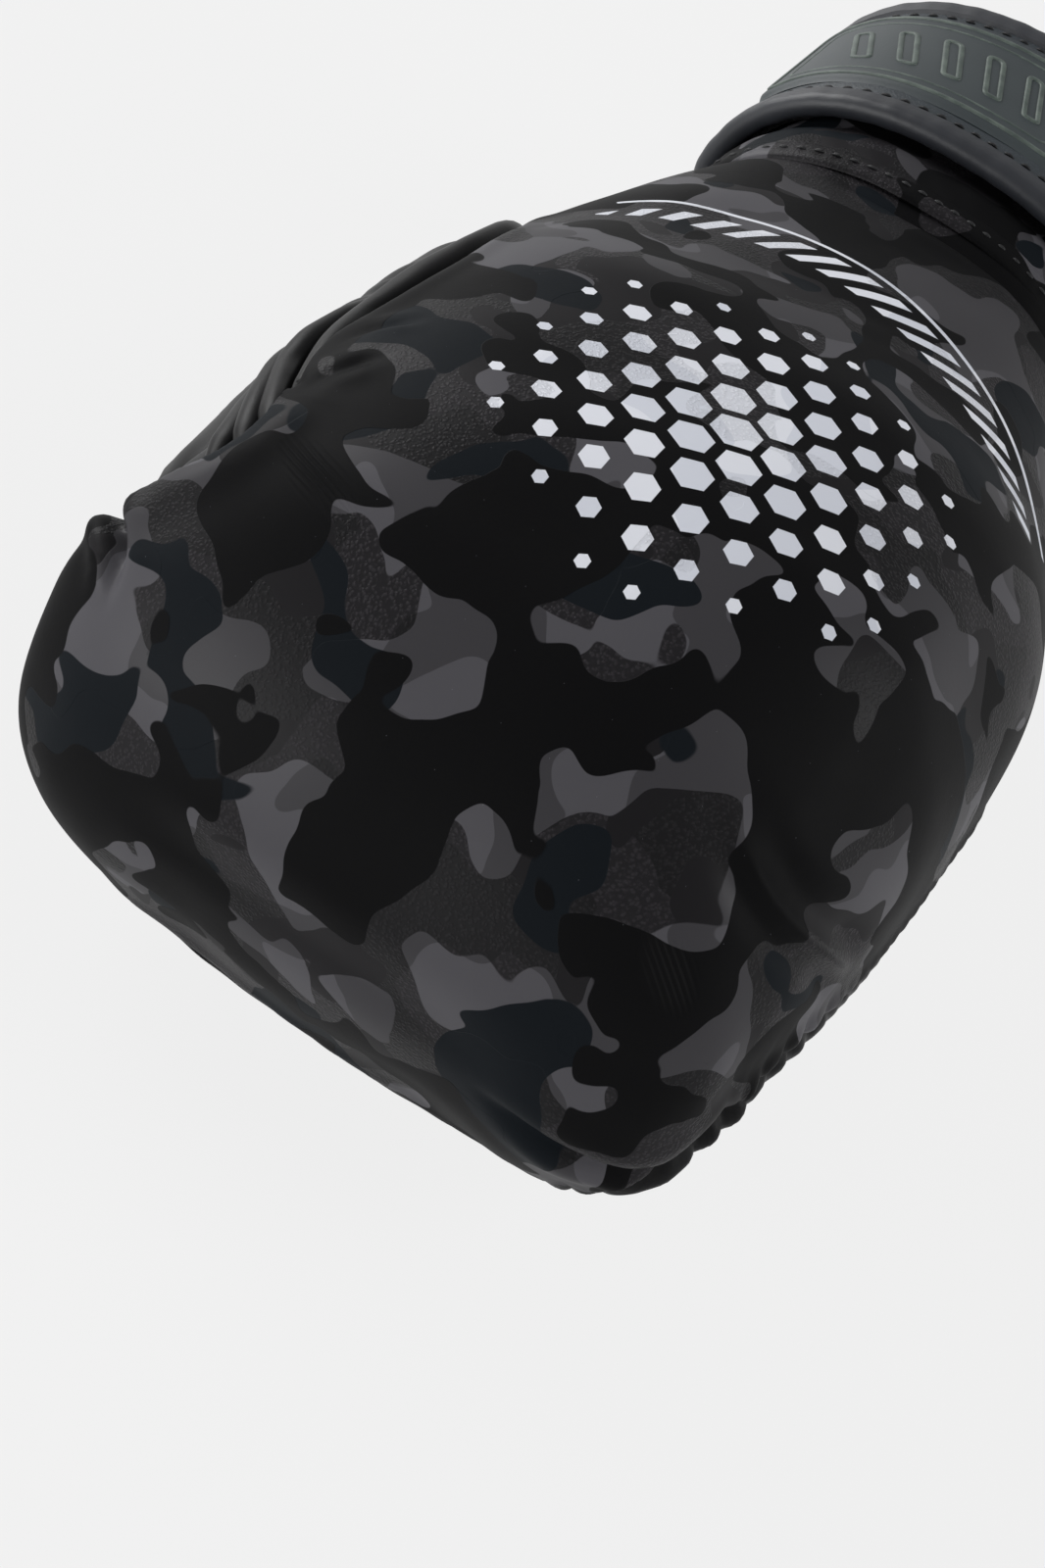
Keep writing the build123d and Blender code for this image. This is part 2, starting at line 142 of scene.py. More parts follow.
# ---------------------------------------------------------------- small helpers
def points(obj):
    co = np.empty(len(obj.data.vertices) * 3, np.float64)
    obj.data.vertices.foreach_get("co", co)
    return co.reshape(-1, 3)


def set_points(obj, co):
    obj.data.vertices.foreach_set("co", np.ascontiguousarray(co, np.float32).ravel())
    obj.data.update()


def normals(obj):
    no = np.empty(len(obj.data.vertices) * 3, np.float64)
    obj.data.vertex_normals.foreach_get("vector", no)
    return no.reshape(-1, 3)


def edges(obj):
    e = np.empty(len(obj.data.edges) * 2, np.int64)
    obj.data.edges.foreach_get("vertices", e)
    return e.reshape(-1, 2)


def unit(rows):
    return rows / np.linalg.norm(rows, axis=1, keepdims=True)


def lengths(steps):
    """How far along a path each of its points lies, from the sizes of its steps."""
    return np.concatenate([[0], np.cumsum(steps)])


def path_lengths(path):
    return lengths(np.linalg.norm(np.diff(path, axis=0), axis=1))


def number_of(share, count):
    """Which of a grid's lines a share lies on."""
    return np.rint(share * count).astype(int)


def relax(obj, weight, rounds):
    """Evens out a surface: each point moves towards the middle of its neighbours by its weight."""
    co, pairs = points(obj), edges(obj)
    count = np.bincount(pairs.ravel(), minlength=len(co))[:, None]
    for _ in range(rounds):
        total = np.zeros_like(co)
        for k in range(3):
            total[:, k] = (np.bincount(pairs[:, 0], co[pairs[:, 1], k], len(co))
                           + np.bincount(pairs[:, 1], co[pairs[:, 0], k], len(co)))
        co += (total / count - co) * weight[:, None]
    set_points(obj, co)


def smooth(x, low, high):
    t = np.clip((x - low) / (high - low), 0, 1)
    return t * t * (3 - 2 * t)


def bell(x, width):
    return np.exp(-(x / width) ** 2)


def to_line(co, line):
    """Distance from each point to a polyline, how far along it that is, and the offset from it."""
    line = np.asarray(line, float)
    best = np.full(len(co), 1e9)
    along = np.zeros(len(co))
    offset = np.zeros((len(co), 3))
    start = 0.0
    for a, b in zip(line[:-1], line[1:]):
        d = b - a
        length = np.linalg.norm(d)
        t = np.clip(((co - a) @ d) / length ** 2, 0, 1)
        away = co - (a + t[:, None] * d)
        gap = np.linalg.norm(away, axis=1)
        nearer = gap < best
        best[nearer] = gap[nearer]
        along[nearer] = start + t[nearer] * length
        offset[nearer] = away[nearer]
        start += length
    return best, along, offset


def settled(line, co):
    """A seam or fold line, smoothly curved, with its points moved onto the nearest points of a surface."""
    line = np.asarray(line, float)
    length = path_lengths(line)
    count = max(int(length[-1] / 4), 3)
    fine = curve_through(np.column_stack([length, line]), np.linspace(0, length[-1], count))
    fine = np.array([co[np.argmin(((co - row) ** 2).sum(1))] for row in fine])
    for _ in range(2):
        fine[1:-1] = fine[1:-1] / 2 + (fine[:-2] + fine[2:]) / 4
    return fine


def curve_through(values, x):
    """A smooth curve through rows of (x, value, ...), without overshoot."""
    rows = np.asarray(values, float)
    xs, ys = rows[:, 0], rows[:, 1:]
    step = np.diff(xs)[:, None]
    slope = np.diff(ys, axis=0) / step
    tangent = np.zeros_like(ys)
    tangent[1:-1] = np.where(slope[:-1] * slope[1:] > 0, 2 * slope[:-1] * slope[1:]
                             / (slope[:-1] + slope[1:] + 1e-12), 0)
    tangent[0], tangent[-1] = slope[0], slope[-1]
    k = np.clip(np.searchsorted(xs, x) - 1, 0, len(xs) - 2)
    h = step[k]
    t = ((x - xs[k]) / (xs[k + 1] - xs[k]))[:, None]
    return ((2 * t ** 3 - 3 * t ** 2 + 1) * ys[k] + (t ** 3 - 2 * t ** 2 + t) * h * tangent[k]
            + (-2 * t ** 3 + 3 * t ** 2) * ys[k + 1] + (t ** 3 - t ** 2) * h * tangent[k + 1])


def power(value, n):
    return np.sign(value) * np.abs(value) ** (2 / n)


def even_angles(half_width, half_height, n):
    """Angles round a squared-off oval, with equal steps of its outline between its four corners."""
    angle = np.linspace(-math.pi / 4, 2 * math.pi - math.pi / 4, 2881)
    x, z = half_width * power(np.cos(angle), n), half_height * power(np.sin(angle), n)
    length = lengths(np.hypot(np.diff(x), np.diff(z)))
    quarter = 720

    def at(share):
        """share runs 0 to 4 round the oval, a whole number at each corner."""
        side = np.minimum(np.floor(share).astype(int), 3)
        start, end = length[side * quarter], length[(side + 1) * quarter]
        return np.interp(start + (end - start) * (share - side), length, angle)

    return at


def object_from(name):
    obj = bpy.context.active_object
    obj.name = name
    obj.data.name = name
    return obj


def select_only(obj):
    bpy.ops.object.select_all(action="DESELECT")
    obj.select_set(True)
    bpy.context.view_layer.objects.active = obj


def apply_all(obj):
    select_only(obj)
    for modifier in list(obj.modifiers):
        bpy.ops.object.modifier_apply(modifier=modifier.name)


def shade(obj, angle=None):
    select_only(obj)
    if angle is None:
        bpy.ops.object.shade_smooth()
    else:
        bpy.ops.object.shade_smooth_by_angle(angle=math.radians(angle))


def subdivided(obj):
    modifier = obj.modifiers.new("Subdivision", "SUBSURF")
    modifier.levels = 1
    modifier.render_levels = 1
    apply_all(obj)


def thickened(obj, thickness):
    """Gives a sheet its thickness, on the inside, and closes its edges."""
    wall = obj.modifiers.new("Wall", "SOLIDIFY")
    wall.thickness = thickness * MM
    wall.offset = -1
    apply_all(obj)


def joined(name, parts):
    bpy.ops.object.select_all(action="DESELECT")
    for part in parts:
        part.select_set(True)
    bpy.context.view_layer.objects.active = parts[0]
    bpy.ops.object.join()
    parts[0].name = parts[0].data.name = name
    return parts[0]


def in_edit(obj):
    select_only(obj)
    bpy.ops.object.mode_set(mode="EDIT")
    bpy.ops.mesh.select_all(action="SELECT")


def out_of_edit():
    bpy.ops.object.mode_set(mode="OBJECT")


# ---------------------------------------------------------------- the hand
def cube_without_back(name, cuts):
    """A cube of side 2, open towards the cuff, each face cut evenly."""
    bpy.ops.mesh.primitive_cube_add(size=2)
    obj = object_from(name)
    for polygon in obj.data.polygons:
        polygon.select = polygon.normal.y < -0.5
    obj.data.update()
    bpy.ops.object.mode_set(mode="EDIT")
    bpy.ops.mesh.delete(type="FACE")
    bpy.ops.mesh.select_all(action="SELECT")
    bpy.ops.mesh.subdivide(number_cuts=cuts)
    out_of_edit()
    return obj


def ring_share(x, z):
    """Where a point of a square's outline lies, as a share that runs 0 to 4 from the low +x corner."""
    share = np.where((x >= np.abs(z)), (z + 1) / 2, 0.0)
    share = np.where((z > np.abs(x)), 1 + (1 - x) / 2, share)
    share = np.where((-x >= np.abs(z)) & ~(x >= np.abs(z)), 2 + (1 - z) / 2, share)
    return np.where((-z > np.abs(x)), 3 + (x + 1) / 2, share)


def hand_profile(t):
    """Section sizes along the hand, from the wrist at 0 to the middle of the front at 1."""
    y = np.linspace(HAND_STATIONS[0][0], HAND_STATIONS[-1][0], 800)
    rows = curve_through(HAND_STATIONS, y)
    length = lengths(np.hypot(np.diff(y), np.diff(rows[:, 2])))
    cap = (rows[-1, 2] - rows[-1, 3]) / 2 + 4
    total = length[-1] + cap
    along = t * total
    at_y = np.interp(along, length, y)
    sizes = curve_through(HAND_STATIONS, at_y)
    shrink = np.clip((total - along) / cap, 0, 1)
    return at_y, sizes, shrink


def shape_hand(obj):
    co = points(obj)
    reach = np.maximum(np.abs(co[:, 0]), np.abs(co[:, 2]))
    on_front = (co[:, 1] > 1 - 1e-6) & (reach < 1 - 1e-6)
    reach = np.where(on_front, np.maximum(reach, 1e-9), 1)
    side = (co[:, 1] + 1) / 2
    side = 1.3 * side - 0.3 * side ** 2
    t = np.where(on_front, FRONT_SHARE + (1 - FRONT_SHARE) * (1 - reach), FRONT_SHARE * side)
    angle = even_angles(72, 58, HAND_POWER)(ring_share(co[:, 0] / reach, co[:, 2] / reach))
    y, sizes, shrink = hand_profile(t)
    pinky, thumb, top, bottom = sizes.T
    middle_x = (HAND_STATIONS[-1][2] - HAND_STATIONS[-1][1]) / 2
    side = np.where(np.cos(angle) > 0, thumb, pinky) * power(np.cos(angle), HAND_POWER)
    x = middle_x + (side - middle_x) * shrink
    z = (top + bottom) / 2 + (top - bottom) / 2 * power(np.sin(angle), HAND_POWER) * shrink
    y = y + FRONT_DOME * (1 - shrink ** 2)
    set_points(obj, np.stack([x, y, z], 1))


def seam_height(co):
    """Height of the seam between the back cover and the underside, on either side of the hand."""
    x, y, _ = co.T
    pinky = np.interp(y, *np.array(SIDE_SEAM_PINKY).T)
    round_front = smooth(y, 118, 130) * smooth(x, -64, -40)
    pinky = pinky + (5.0 - pinky) * round_front
    thumb = np.interp(y, *np.array(SIDE_SEAM_THUMB).T)
    return pinky + (thumb - pinky) * smooth(x, -40, 40)


def thumb_panel_field(co):
    """Positive inside the smooth panel between the shoulder seam, the lip and the thumb."""
    x, y, z = co.T
    shoulder = np.array(SHOULDER_SEAM)
    front = np.array(LIP_EDGE)[::-1]
    below = np.interp(y, shoulder[:, 1], shoulder[:, 2]) - z
    behind = np.interp(z, front[:, 2], front[:, 1]) - y
    return np.minimum(np.minimum(below, behind), x - 35)


def pull_seams(co):
    """Grooves along the seams, with the little puckers that the thread makes."""
    x, y, z = co.T
    under = z - seam_height(co)
    sides = smooth(np.hypot(x, (y - 60) * 0.8), 30, 55)
    ripple = 0.5 + 0.5 * np.cos(y * 2 * math.pi / SEAM_PITCH + x * 0.6)
    move = -SEAM_DEPTH * (bell(under, 1.5) * sides)
    move += 0.7 * bell(np.abs(under) - 3.6, 2.6) * sides
    return move - 0.35 * ripple * bell(under, 4.5) * sides


def gathers(co):
    """The leather gathered along the seam round the pinky corner, in small scallops."""
    x, y, z = co.T
    under = z - seam_height(co)
    pinky = smooth(-x, 40, 58)
    stretch = smooth(y, 88, 98) * (1 - smooth(y, 134, 142))
    along = y * 0.86 - (x + 60) * 0.5 * smooth(y, 112, 128)
    fan = under * 0.05 * (along - 100) / 20
    phase = (along - fan) / GATHER_PITCH + 0.07 * np.sin(along * 0.33 + 0.8)
    place = phase - np.floor(phase)
    scallop = 1 - (2 * place - 1) ** 2
    uneven = 0.95 + 0.1 * np.sin(along * 0.23 + 2.0)
    reach_up = (1 - smooth(under, 1, 9)) * 0.8 + (1 - smooth(under, 5, 16)) * 0.2
    reach_down = 1 - smooth(-under, 1, 9)
    strength = pinky * stretch * uneven * np.where(under > 0, reach_up, reach_down)
    return (scallop - 0.6) * GATHER_HEIGHT * strength


def pinky_fold(co):
    """A ridge beside the pinky knuckle, where the back dips behind it and overlaps the front."""
    gap, along, offset = to_line(co, settled(PINKY_FOLD, co))
    behind = smooth(-offset[:, 1] + offset[:, 2] * 0.5, -0.6, 0.6)
    grow = smooth(along, 0, 30)
    ridge_line = 1.5 * bell(gap, 1.7)
    valley = -2.2 * bell(gap - 5.2, 3.4) * behind
    front = -1.6 * bell(gap - 3.6, 2.6) * (1 - behind)
    fade = smooth(along, -4, 10) * (1 - smooth(along, 36, 52))
    return (ridge_line + valley + front) * (0.35 + 0.65 * grow) * fade


def front_fold(co):
    """The crease low on the front at the pinky corner, with a rolled lip under it."""
    gap, along, offset = to_line(co, settled(FRONT_FOLD, co))
    fade = smooth(along, 0, 20)
    below = smooth(-offset[:, 2], -0.5, 0.5)
    lower_lip = 1.5 * below * bell(gap - 5, 4.2)
    upper_lip = 1.0 * (1 - below) * bell(gap - 5, 3.6)
    return (-2.6 * bell(gap, 2.0) + lower_lip + upper_lip) * fade


def knuckle_fold(co):
    """The pinched fold at the front end of the thumb-side seam, with a rolled lip under it."""
    gap, along, offset = to_line(co, settled(KNUCKLE_FOLD, co))
    fade = smooth(along, -1, 6) * (1 - smooth(along, 14, 31))
    below = smooth(-offset[:, 2] + offset[:, 0] * 0.6, -0.6, 1.0)
    lobe = 1.9 * below * bell(gap - 3.9, 2.7)
    return (-3.2 * bell(gap, 1.4) + lobe + 0.7 * (1 - below) * bell(gap - 3.8, 3.0)) * fade


def shoulder_folds(co):
    """The smooth panel sinks where it is pushed into rolls, and the back cover creases beside it."""
    inside = thumb_panel_field(co)
    sink = np.zeros(len(co))
    for roll in SHOULDER_ROLLS:
        rows = np.array(roll)
        gap, along, _ = to_line(co, rows[:, :3])
        sink = np.maximum(sink, (1 - smooth(gap, 3.5, 10.5)) * smooth(along, 0, 22))
    move = -6.6 * sink * smooth(inside, -0.2, 1.2)
    flank = smooth(inside, 1, 6) * smooth(co[:, 1], 25, 55) * smooth(co[:, 2], 50, 62)
    move -= (2.0 + 1.0 * bell(co[:, 1] - 92, 20)) * flank * (1 - sink)
    for crease in SHOULDER_CREASES:
        gap, along, _ = to_line(co, settled(crease, co))
        fade = smooth(along, 0, 8) * (1 - smooth(along, 5, 19))
        outside = 1 - smooth(inside, -1.0, 0.5)
        move += (-0.9 * bell(gap, 1.5) + 0.5 * bell(gap - 3.2, 2.4)) * fade * outside
    return move


def lip(co):
    """The back cover bulges over the smooth panel at its front end."""
    inside = thumb_panel_field(co)
    gap, along, _ = to_line(co, settled(LIP_EDGE, co))
    fade = 1 - smooth(along, 46, 70)
    dive = -4.2 * smooth(inside, 0, 1.2) * bell(gap, 5.5) * fade
    bulge = 1.6 * (1 - smooth(inside, -1.5, 0)) * bell(gap - 4, 5) * fade * smooth(along, 0, 10)
    return dive + bulge


def shoulder_seam(co):
    """The seam between the back cover and the smooth panel, fading out towards the knuckles."""
    gap, _, _ = to_line(co, settled(SHOULDER_SEAM, co))
    inside = thumb_panel_field(co)
    beside = 0.9 * bell(gap - 3.4, 2.4) * np.where(inside > 0, 1, 0.6) * (1 - smooth(co[:, 1], 72, 84))
    return (-1.5 * bell(gap, 1.1) + beside) * smooth(co[:, 1], -56, -40)


def settling(co):
    """Where the filling has sunk a little, and where it has gathered."""
    x, y, z = co.T
    low = 1 - smooth(z, 45, 62)
    corner = 1 - smooth(x, -50, -30)
    move = -1.8 * smooth(-x, 52, 68) * smooth(y, 25, 70) * (1 - smooth(y, 122, 134))
    move -= 3.0 * smooth(y, 120, 138) * low * smooth(x, -40, -18) * (1 - smooth(x, 25, 48))
    move += 2.2 * smooth(y, 108, 126) * low * corner * smooth(x, -70, -58)
    move += 1.6 * smooth(x, 40, 60) * smooth(y, 112, 126) * bell(z - 38, 24)
    move += 1.5 * smooth(x, 25, 40) * smooth(z, 70, 85) * bell(y + 12, 22)
    return move - 1.8 * bell(y + 54.6, 2.4) * (1 - smooth(x, -5, 35))


def unevenness(co):
    """Slow waves of hand-filled padding."""
    x, y, z = co.T
    a = np.sin(x * 0.052 + 1.3) * np.cos(y * 0.043 + 0.4)
    b = np.sin(x * 0.11 + z * 0.07) * np.sin(y * 0.083 + 2.0)
    c = np.sin(y * 0.19 - x * 0.13 + z * 0.11)
    return 0.45 * a + 0.28 * b + 0.1 * c


def press_flat(co):
    """The underside lies flat on what it rests on."""
    co = co.copy()
    co[:, 2] = np.maximum(co[:, 2], 0.0)
    return co


def palm_fold(co):
    """The fold across the palm, between its heel and the curled fingers."""
    low = 1 - smooth(co[:, 2], 12, 30)
    return -12.0 * bell(co[:, 1] - 36, 8.0) * low * (1 - smooth(np.abs(co[:, 0] + 2), 48, 64))


def nest(co):
    """Makes room for the thumb beside the fist."""
    root = np.array(THUMB_ROOT)
    axis = np.array(THUMB_TIP) - root
    t = np.clip(((co - root) @ axis) / (axis @ axis), 0, 1)
    centre = root + t[:, None] * axis
    radius = np.interp(t, *THUMB_RADII) + THUMB_PLAY
    off = co - centre
    distance = np.linalg.norm(off, axis=1)
    hit = (distance < radius) & (co[:, 0] > 30)
    flat = np.sqrt(np.maximum(radius ** 2 - off[:, 2] ** 2 - off[:, 1] ** 2, 0))
    co = co.copy()
    co[hit, 0] = np.minimum(co[hit, 0], (centre[:, 0] - flat)[hit])
    return co


def puff(obj, pinned, pressure, most):
    """Blows a padded cover up a little with the cloth solver; pinned points stay where they are."""
    before = points(obj)
    group = obj.vertex_groups.new(name="held")
    for value in np.unique(np.round(pinned, 1)):
        chosen = np.nonzero(np.round(pinned, 1) == value)[0]
        group.add(chosen.tolist(), float(value), "REPLACE")
    cloth = obj.modifiers.new("Cloth", "CLOTH")
    settings = cloth.settings
    settings.quality = 4
    settings.mass = 0.3
    settings.tension_stiffness = settings.compression_stiffness = 20
    settings.bending_stiffness = 2.0
    settings.effector_weights.gravity = 0
    settings.use_pressure = True
    settings.uniform_pressure_force = pressure
    settings.vertex_group_mass = "held"
    cloth.collision_settings.use_collision = False
    scene = bpy.context.scene
    for step in range(1, 21):
        scene.frame_set(step)
    apply_all(obj)
    moved = points(obj) - before
    length = np.linalg.norm(moved, axis=1, keepdims=True)
    set_points(obj, before + moved * np.minimum(1, most / np.maximum(length, 1e-9)))
    scene.frame_set(1)


def make_hand():
    obj = cube_without_back("hand_cover", HAND_CUTS)
    shape_hand(obj)
    co = points(obj)
    relax(obj, 0.5 * smooth(co[:, 1], 112, 130), 8)
    co = points(obj)
    under = co[:, 2] - seam_height(co)
    gap, _, _ = to_line(co, SHOULDER_SEAM)
    held = np.maximum(bell(under, 4), bell(gap, 4))
    held = np.maximum(held, 1 - smooth(co[:, 1], -60, -52))
    set_points(obj, co * MM)
    puff(obj, held, 3.0, 2.2 * MM)
    co = points(obj) / MM
    no = normals(obj)
    co = co + no * palm_fold(co)[:, None]
    set_points(obj, nest(co))
    subdivided(obj)
    co, no = points(obj), normals(obj)
    move = (pull_seams(co) + gathers(co) + pinky_fold(co) + front_fold(co) + knuckle_fold(co)
            + shoulder_folds(co) + lip(co) + shoulder_seam(co) + settling(co) + unevenness(co))
    wrist = smooth(co[:, 1], -60, -54)
    co = co + no * (move * wrist)[:, None]
    co = press_flat(co)
    set_points(obj, co * MM)
    return obj


def leather_roll(name, rows):
    """One rolled fold of leather, thicker in its middle, its ends buried in the panel."""
    rows = np.array(rows, float)
    length = path_lengths(rows[:, :3])
    count = int(length[-1] / 0.8)
    line = curve_through(np.column_stack([length, rows]), np.linspace(0, length[-1], count))
    centre, radius = line[:, :3], line[:, 3]
    ends = np.minimum(np.arange(count), np.arange(count)[::-1]) / 12
    radius = radius * np.sqrt(np.clip(ends, 0.0004, 1))
    along = unit(np.gradient(centre, axis=0))
    side = unit(np.cross(along, (1.0, 0.0, 0.6)))
    out = np.cross(side, along)
    turns = 20
    bpy.ops.mesh.primitive_grid_add(x_subdivisions=count - 1, y_subdivisions=turns, size=2)
    obj = object_from(name)
    share = points(obj)
    i = np.rint((share[:, 0] + 1) / 2 * (count - 1)).astype(int)
    j = np.rint((share[:, 1] + 1) / 2 * turns).astype(int) % turns
    angle = 2 * math.pi * j / turns
    travel = length[-1] * i / count
    uneven = 1 + 0.07 * np.sin(travel * 0.21 + radius[0] * 9) + 0.04 * np.sin(angle * 2 + travel * 0.13)
    r = radius[i] * uneven
    co = centre[i] + (1.12 * r * np.cos(angle))[:, None] * side[i]
    co = co + (1.02 * r * np.sin(angle))[:, None] * out[i]
    co = co + np.array(ROLL_SHIFT)
    set_points(obj, co * MM)
    in_edit(obj)
    bpy.ops.mesh.remove_doubles(threshold=0.000005)
    bpy.ops.mesh.normals_make_consistent(inside=False)
    out_of_edit()
    shade(obj)
    return obj


def split_off(obj, name, chosen):
    """Separates the chosen faces into a piece of their own."""
    select_only(obj)
    obj.data.polygons.foreach_set("select", chosen)
    bpy.ops.object.mode_set(mode="EDIT")
    bpy.ops.mesh.separate(type="SELECTED")
    out_of_edit()
    piece = [o for o in bpy.context.selected_objects if o != obj][0]
    piece.name = piece.data.name = name
    return piece


def face_centres(obj):
    centre = np.empty(len(obj.data.polygons) * 3)
    obj.data.polygons.foreach_get("center", centre)
    return centre.reshape(-1, 3) / MM


def hand_pieces():
    whole = make_hand()
    centre = face_centres(whole)
    piece = split_off(whole, "underside", seam_height(centre) > centre[:, 2])
    centre = face_centres(piece)
    pinky = split_off(piece, "pinky_side_cover", centre[:, 0] < -50)
    centre = face_centres(whole)
    panel = split_off(whole, "thumb_side_cover", thumb_panel_field(centre) > 0)
    whole.name = whole.data.name = "back_cover"
    piece.name = piece.data.name = "palm_cover"
    for part in (whole, panel, piece, pinky):
        thickened(part, LEATHER)
    rolls = [leather_roll(f"shoulder_roll_{k}", rows) for k, rows in enumerate(SHOULDER_ROLLS)]
    panel = joined("thumb_side_cover", [panel, *rolls])
    back_nodes = ("back_shell", "knuckle_foam_outer", "knuckle_foam_middle", "knuckle_foam_inner")
    for part, nodes, slot_name in (
            (whole, back_nodes, "printed_cover"),
            (panel, ("thumb_side_panel",), "smooth_cover"),
            (piece, ("palm_shell", "palm_pad", "finger_curl_pad", "grip_bar"), "smooth_cover"),
            (pinky, ("pinky_side_panel",), "smooth_cover")):
        shade(part, COVER_EDGE)
        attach(part, "glove_body")
        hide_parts(*nodes)
    return whole, panel, piece, pinky


# ---------------------------------------------------------------- the thumb
def thumb_axes():
    """The thumb's middle and half its length, then the directions along it, outward and up."""
    root, tip = np.array(THUMB_ROOT), np.array(THUMB_TIP)
    size = np.linalg.norm(tip - root)
    along = (tip - root) / size
    outward = np.cross(along, (0, 0, 1))
    outward /= np.linalg.norm(outward)
    return (root + tip) / 2, size / 2, along, outward, np.cross(outward, along)


def thumb_seam(length, height):
    """How far above the seam round the thumb a place lies."""
    return height + 1.5 * np.sin(length * 0.05)


def shape_thumb(obj):
    """Turns the evenly cut cube into a blunt finger shape with its axis along the thumb."""
    ball = unit(np.tan(points(obj) * math.pi / 4))
    middle, half, along, outward, up = thumb_axes()
    body = 0.72                 # the share of the cube that becomes the thumb's straight part
    length = np.clip(ball[:, 1] / body, -1, 1) * half
    end = np.clip((np.abs(ball[:, 1]) - body) / (1 - body), 0, 1)
    t = (length + half) / (2 * half)
    radius = np.interp(t, *THUMB_SIZES)
    length = length + np.sign(ball[:, 1]) * radius * np.sin(end * math.pi / 2) ** 1.15
    round_off = np.cos(end * math.pi / 2) ** 0.9
    flat = np.hypot(ball[:, 0], ball[:, 2]) + 1e-9
    x, z = ball[:, 0] / flat * radius * round_off, ball[:, 2] / flat * radius * round_off
    co = middle + length[:, None] * along + x[:, None] * outward + z[:, None] * up
    set_points(obj, co)


def crease_thumb(obj):
    """The seam round the thumb and the soft folds that its bend makes."""
    co, no = points(obj), normals(obj)
    middle, _, along, outward, up = thumb_axes()
    length, side, height = (co - middle) @ along, (co - middle) @ outward, (co - middle) @ up
    seam = thumb_seam(length, height)
    ripple = 0.5 + 0.5 * np.cos(length * 2 * math.pi / 4.2)
    move = -1.3 * bell(seam, 1.1) + 0.6 * bell(np.abs(seam) - 3.2, 2.2) - 0.25 * ripple * bell(seam, 4.5)
    for place, lean, depth, width in THUMB_FOLDS:
        gap = length - place - lean * side + 1.6 * np.sin(height * 0.16)
        inner = 1 - 0.55 * smooth(side, -6, 18)
        move += (-depth * bell(gap, width) + 0.45 * depth * bell(np.abs(gap) - 2.1 * width, width)) * inner
    waves = 0.3 * np.sin(length * 0.11 + 0.7) * np.cos(height * 0.13)
    move += waves + 0.15 * np.sin(side * 0.31 + length * 0.07)
    set_points(obj, co + no * move[:, None])


def make_thumb():
    bpy.ops.mesh.primitive_cube_add(size=2)
    obj = object_from("thumb_back_cover")
    in_edit(obj)
    bpy.ops.mesh.subdivide(number_cuts=35)
    out_of_edit()
    shape_thumb(obj)
    subdivided(obj)
    crease_thumb(obj)
    set_points(obj, points(obj) * MM)
    middle, _, along, _, up = thumb_axes()
    centre = face_centres(obj) - middle
    under = split_off(obj, "thumb_palm_cover", thumb_seam(centre @ along, centre @ up) < 0)
    for part, nodes in ((obj, ("thumb_back_shell", "thumb_foam", "thumb_liner")),
                        (under, ("thumb_palm_shell",))):
        thickened(part, LEATHER)
        shade(part, COVER_EDGE)
        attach(part, "thumb_part")
        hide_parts(*nodes)
    return obj, under


def make_web():
    """The leather web between thumb and fist: it rises out of the thumb's top into the fist."""
    low, high = (np.array(c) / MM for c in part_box("thumb_web"))
    root, tip = np.array(THUMB_ROOT), np.array(THUMB_TIP)

    def place(u, v):
        y = low[1] + (high[1] - low[1]) * v
        t = (y - root[1]) / (tip[1] - root[1])
        centre = root + np.clip(t, 0, 1)[..., None] * (tip - root)
        radius = np.interp(t, *THUMB_RADII)
        radius = radius * np.sqrt(1 - (np.maximum(y - tip[1], 0) / radius) ** 2)
        ends = smooth(np.minimum(v, 1 - v), 0, 0.16)
        lift = -1.2 + 0.9 * smooth(u, 0, 0.3) + 2.9 * u ** 2 - 2.2 * (1 - ends)
        angle = np.radians(29 - 37 * u)
        reach = radius + lift
        x, z = centre[..., 0] + reach * np.sin(angle), centre[..., 2] + reach * np.cos(angle)
        return np.stack([x, y, z], -1)

    obj = bent_grid("thumb_tether", 24, 72, place, 1.2, flip=True)
    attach(obj, "thumb_part")
    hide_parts("thumb_web")
    return obj


# ---------------------------------------------------------------- the cuff and strap
CUFF_CENTRE = (4.0, 60.0)
CUFF_HALF = (46.0, 38.0)
CUFF_FRONT = -61.0
CUFF_MOUTH = -145.0
CUFF_WALL = 8.4
SLIT = (-10.0, 4.0, 66.0)        # from x, to x, length
STRAP = (-77.0, -135.0)          # front and rear edges
STRAP_TIP = 2.0                  # degrees round the cuff, from the thumb side over the top
STRAP_SPLIT = 210.0              # where its lower and upper lengths meet
STRAP_SEWN = 318.0
STRAP_CORNER = 8.0               # the radius of its corners
STRAP_OUT = (2.6, 5.4)           # its inner and outer face, out from the cuff's cover
ROLL_HALF = 1.9                  # half the thickness of the strap's rolled edge
MOUTH_HALF = 5.3                 # half the thickness of the rolled mouth
SEAM_INSET = 7.3                 # from the strap's edge to its stitches
STITCH_WIDTH = 0.75
STRAP_STITCHES = (3.7, 2.4)      # pitch and length
WELT_STITCHES = (3.6, 2.3)
WELT_SEAM = -60.6                # where the welt is sewn down
# the section of the cuff's turned edge, as y and distance out from the cuff's cover
WELT_PROFILE = [(-64.6, 0.8), (-64.5, 1.5), (-63.6, 1.9), (-61.5, 2.05), (-59.4, 2.0), (-57.9, 1.6),
                (-57.2, 0.9), (-57.5, 0.2), (-59.0, -0.3), (-62.0, -0.5)]
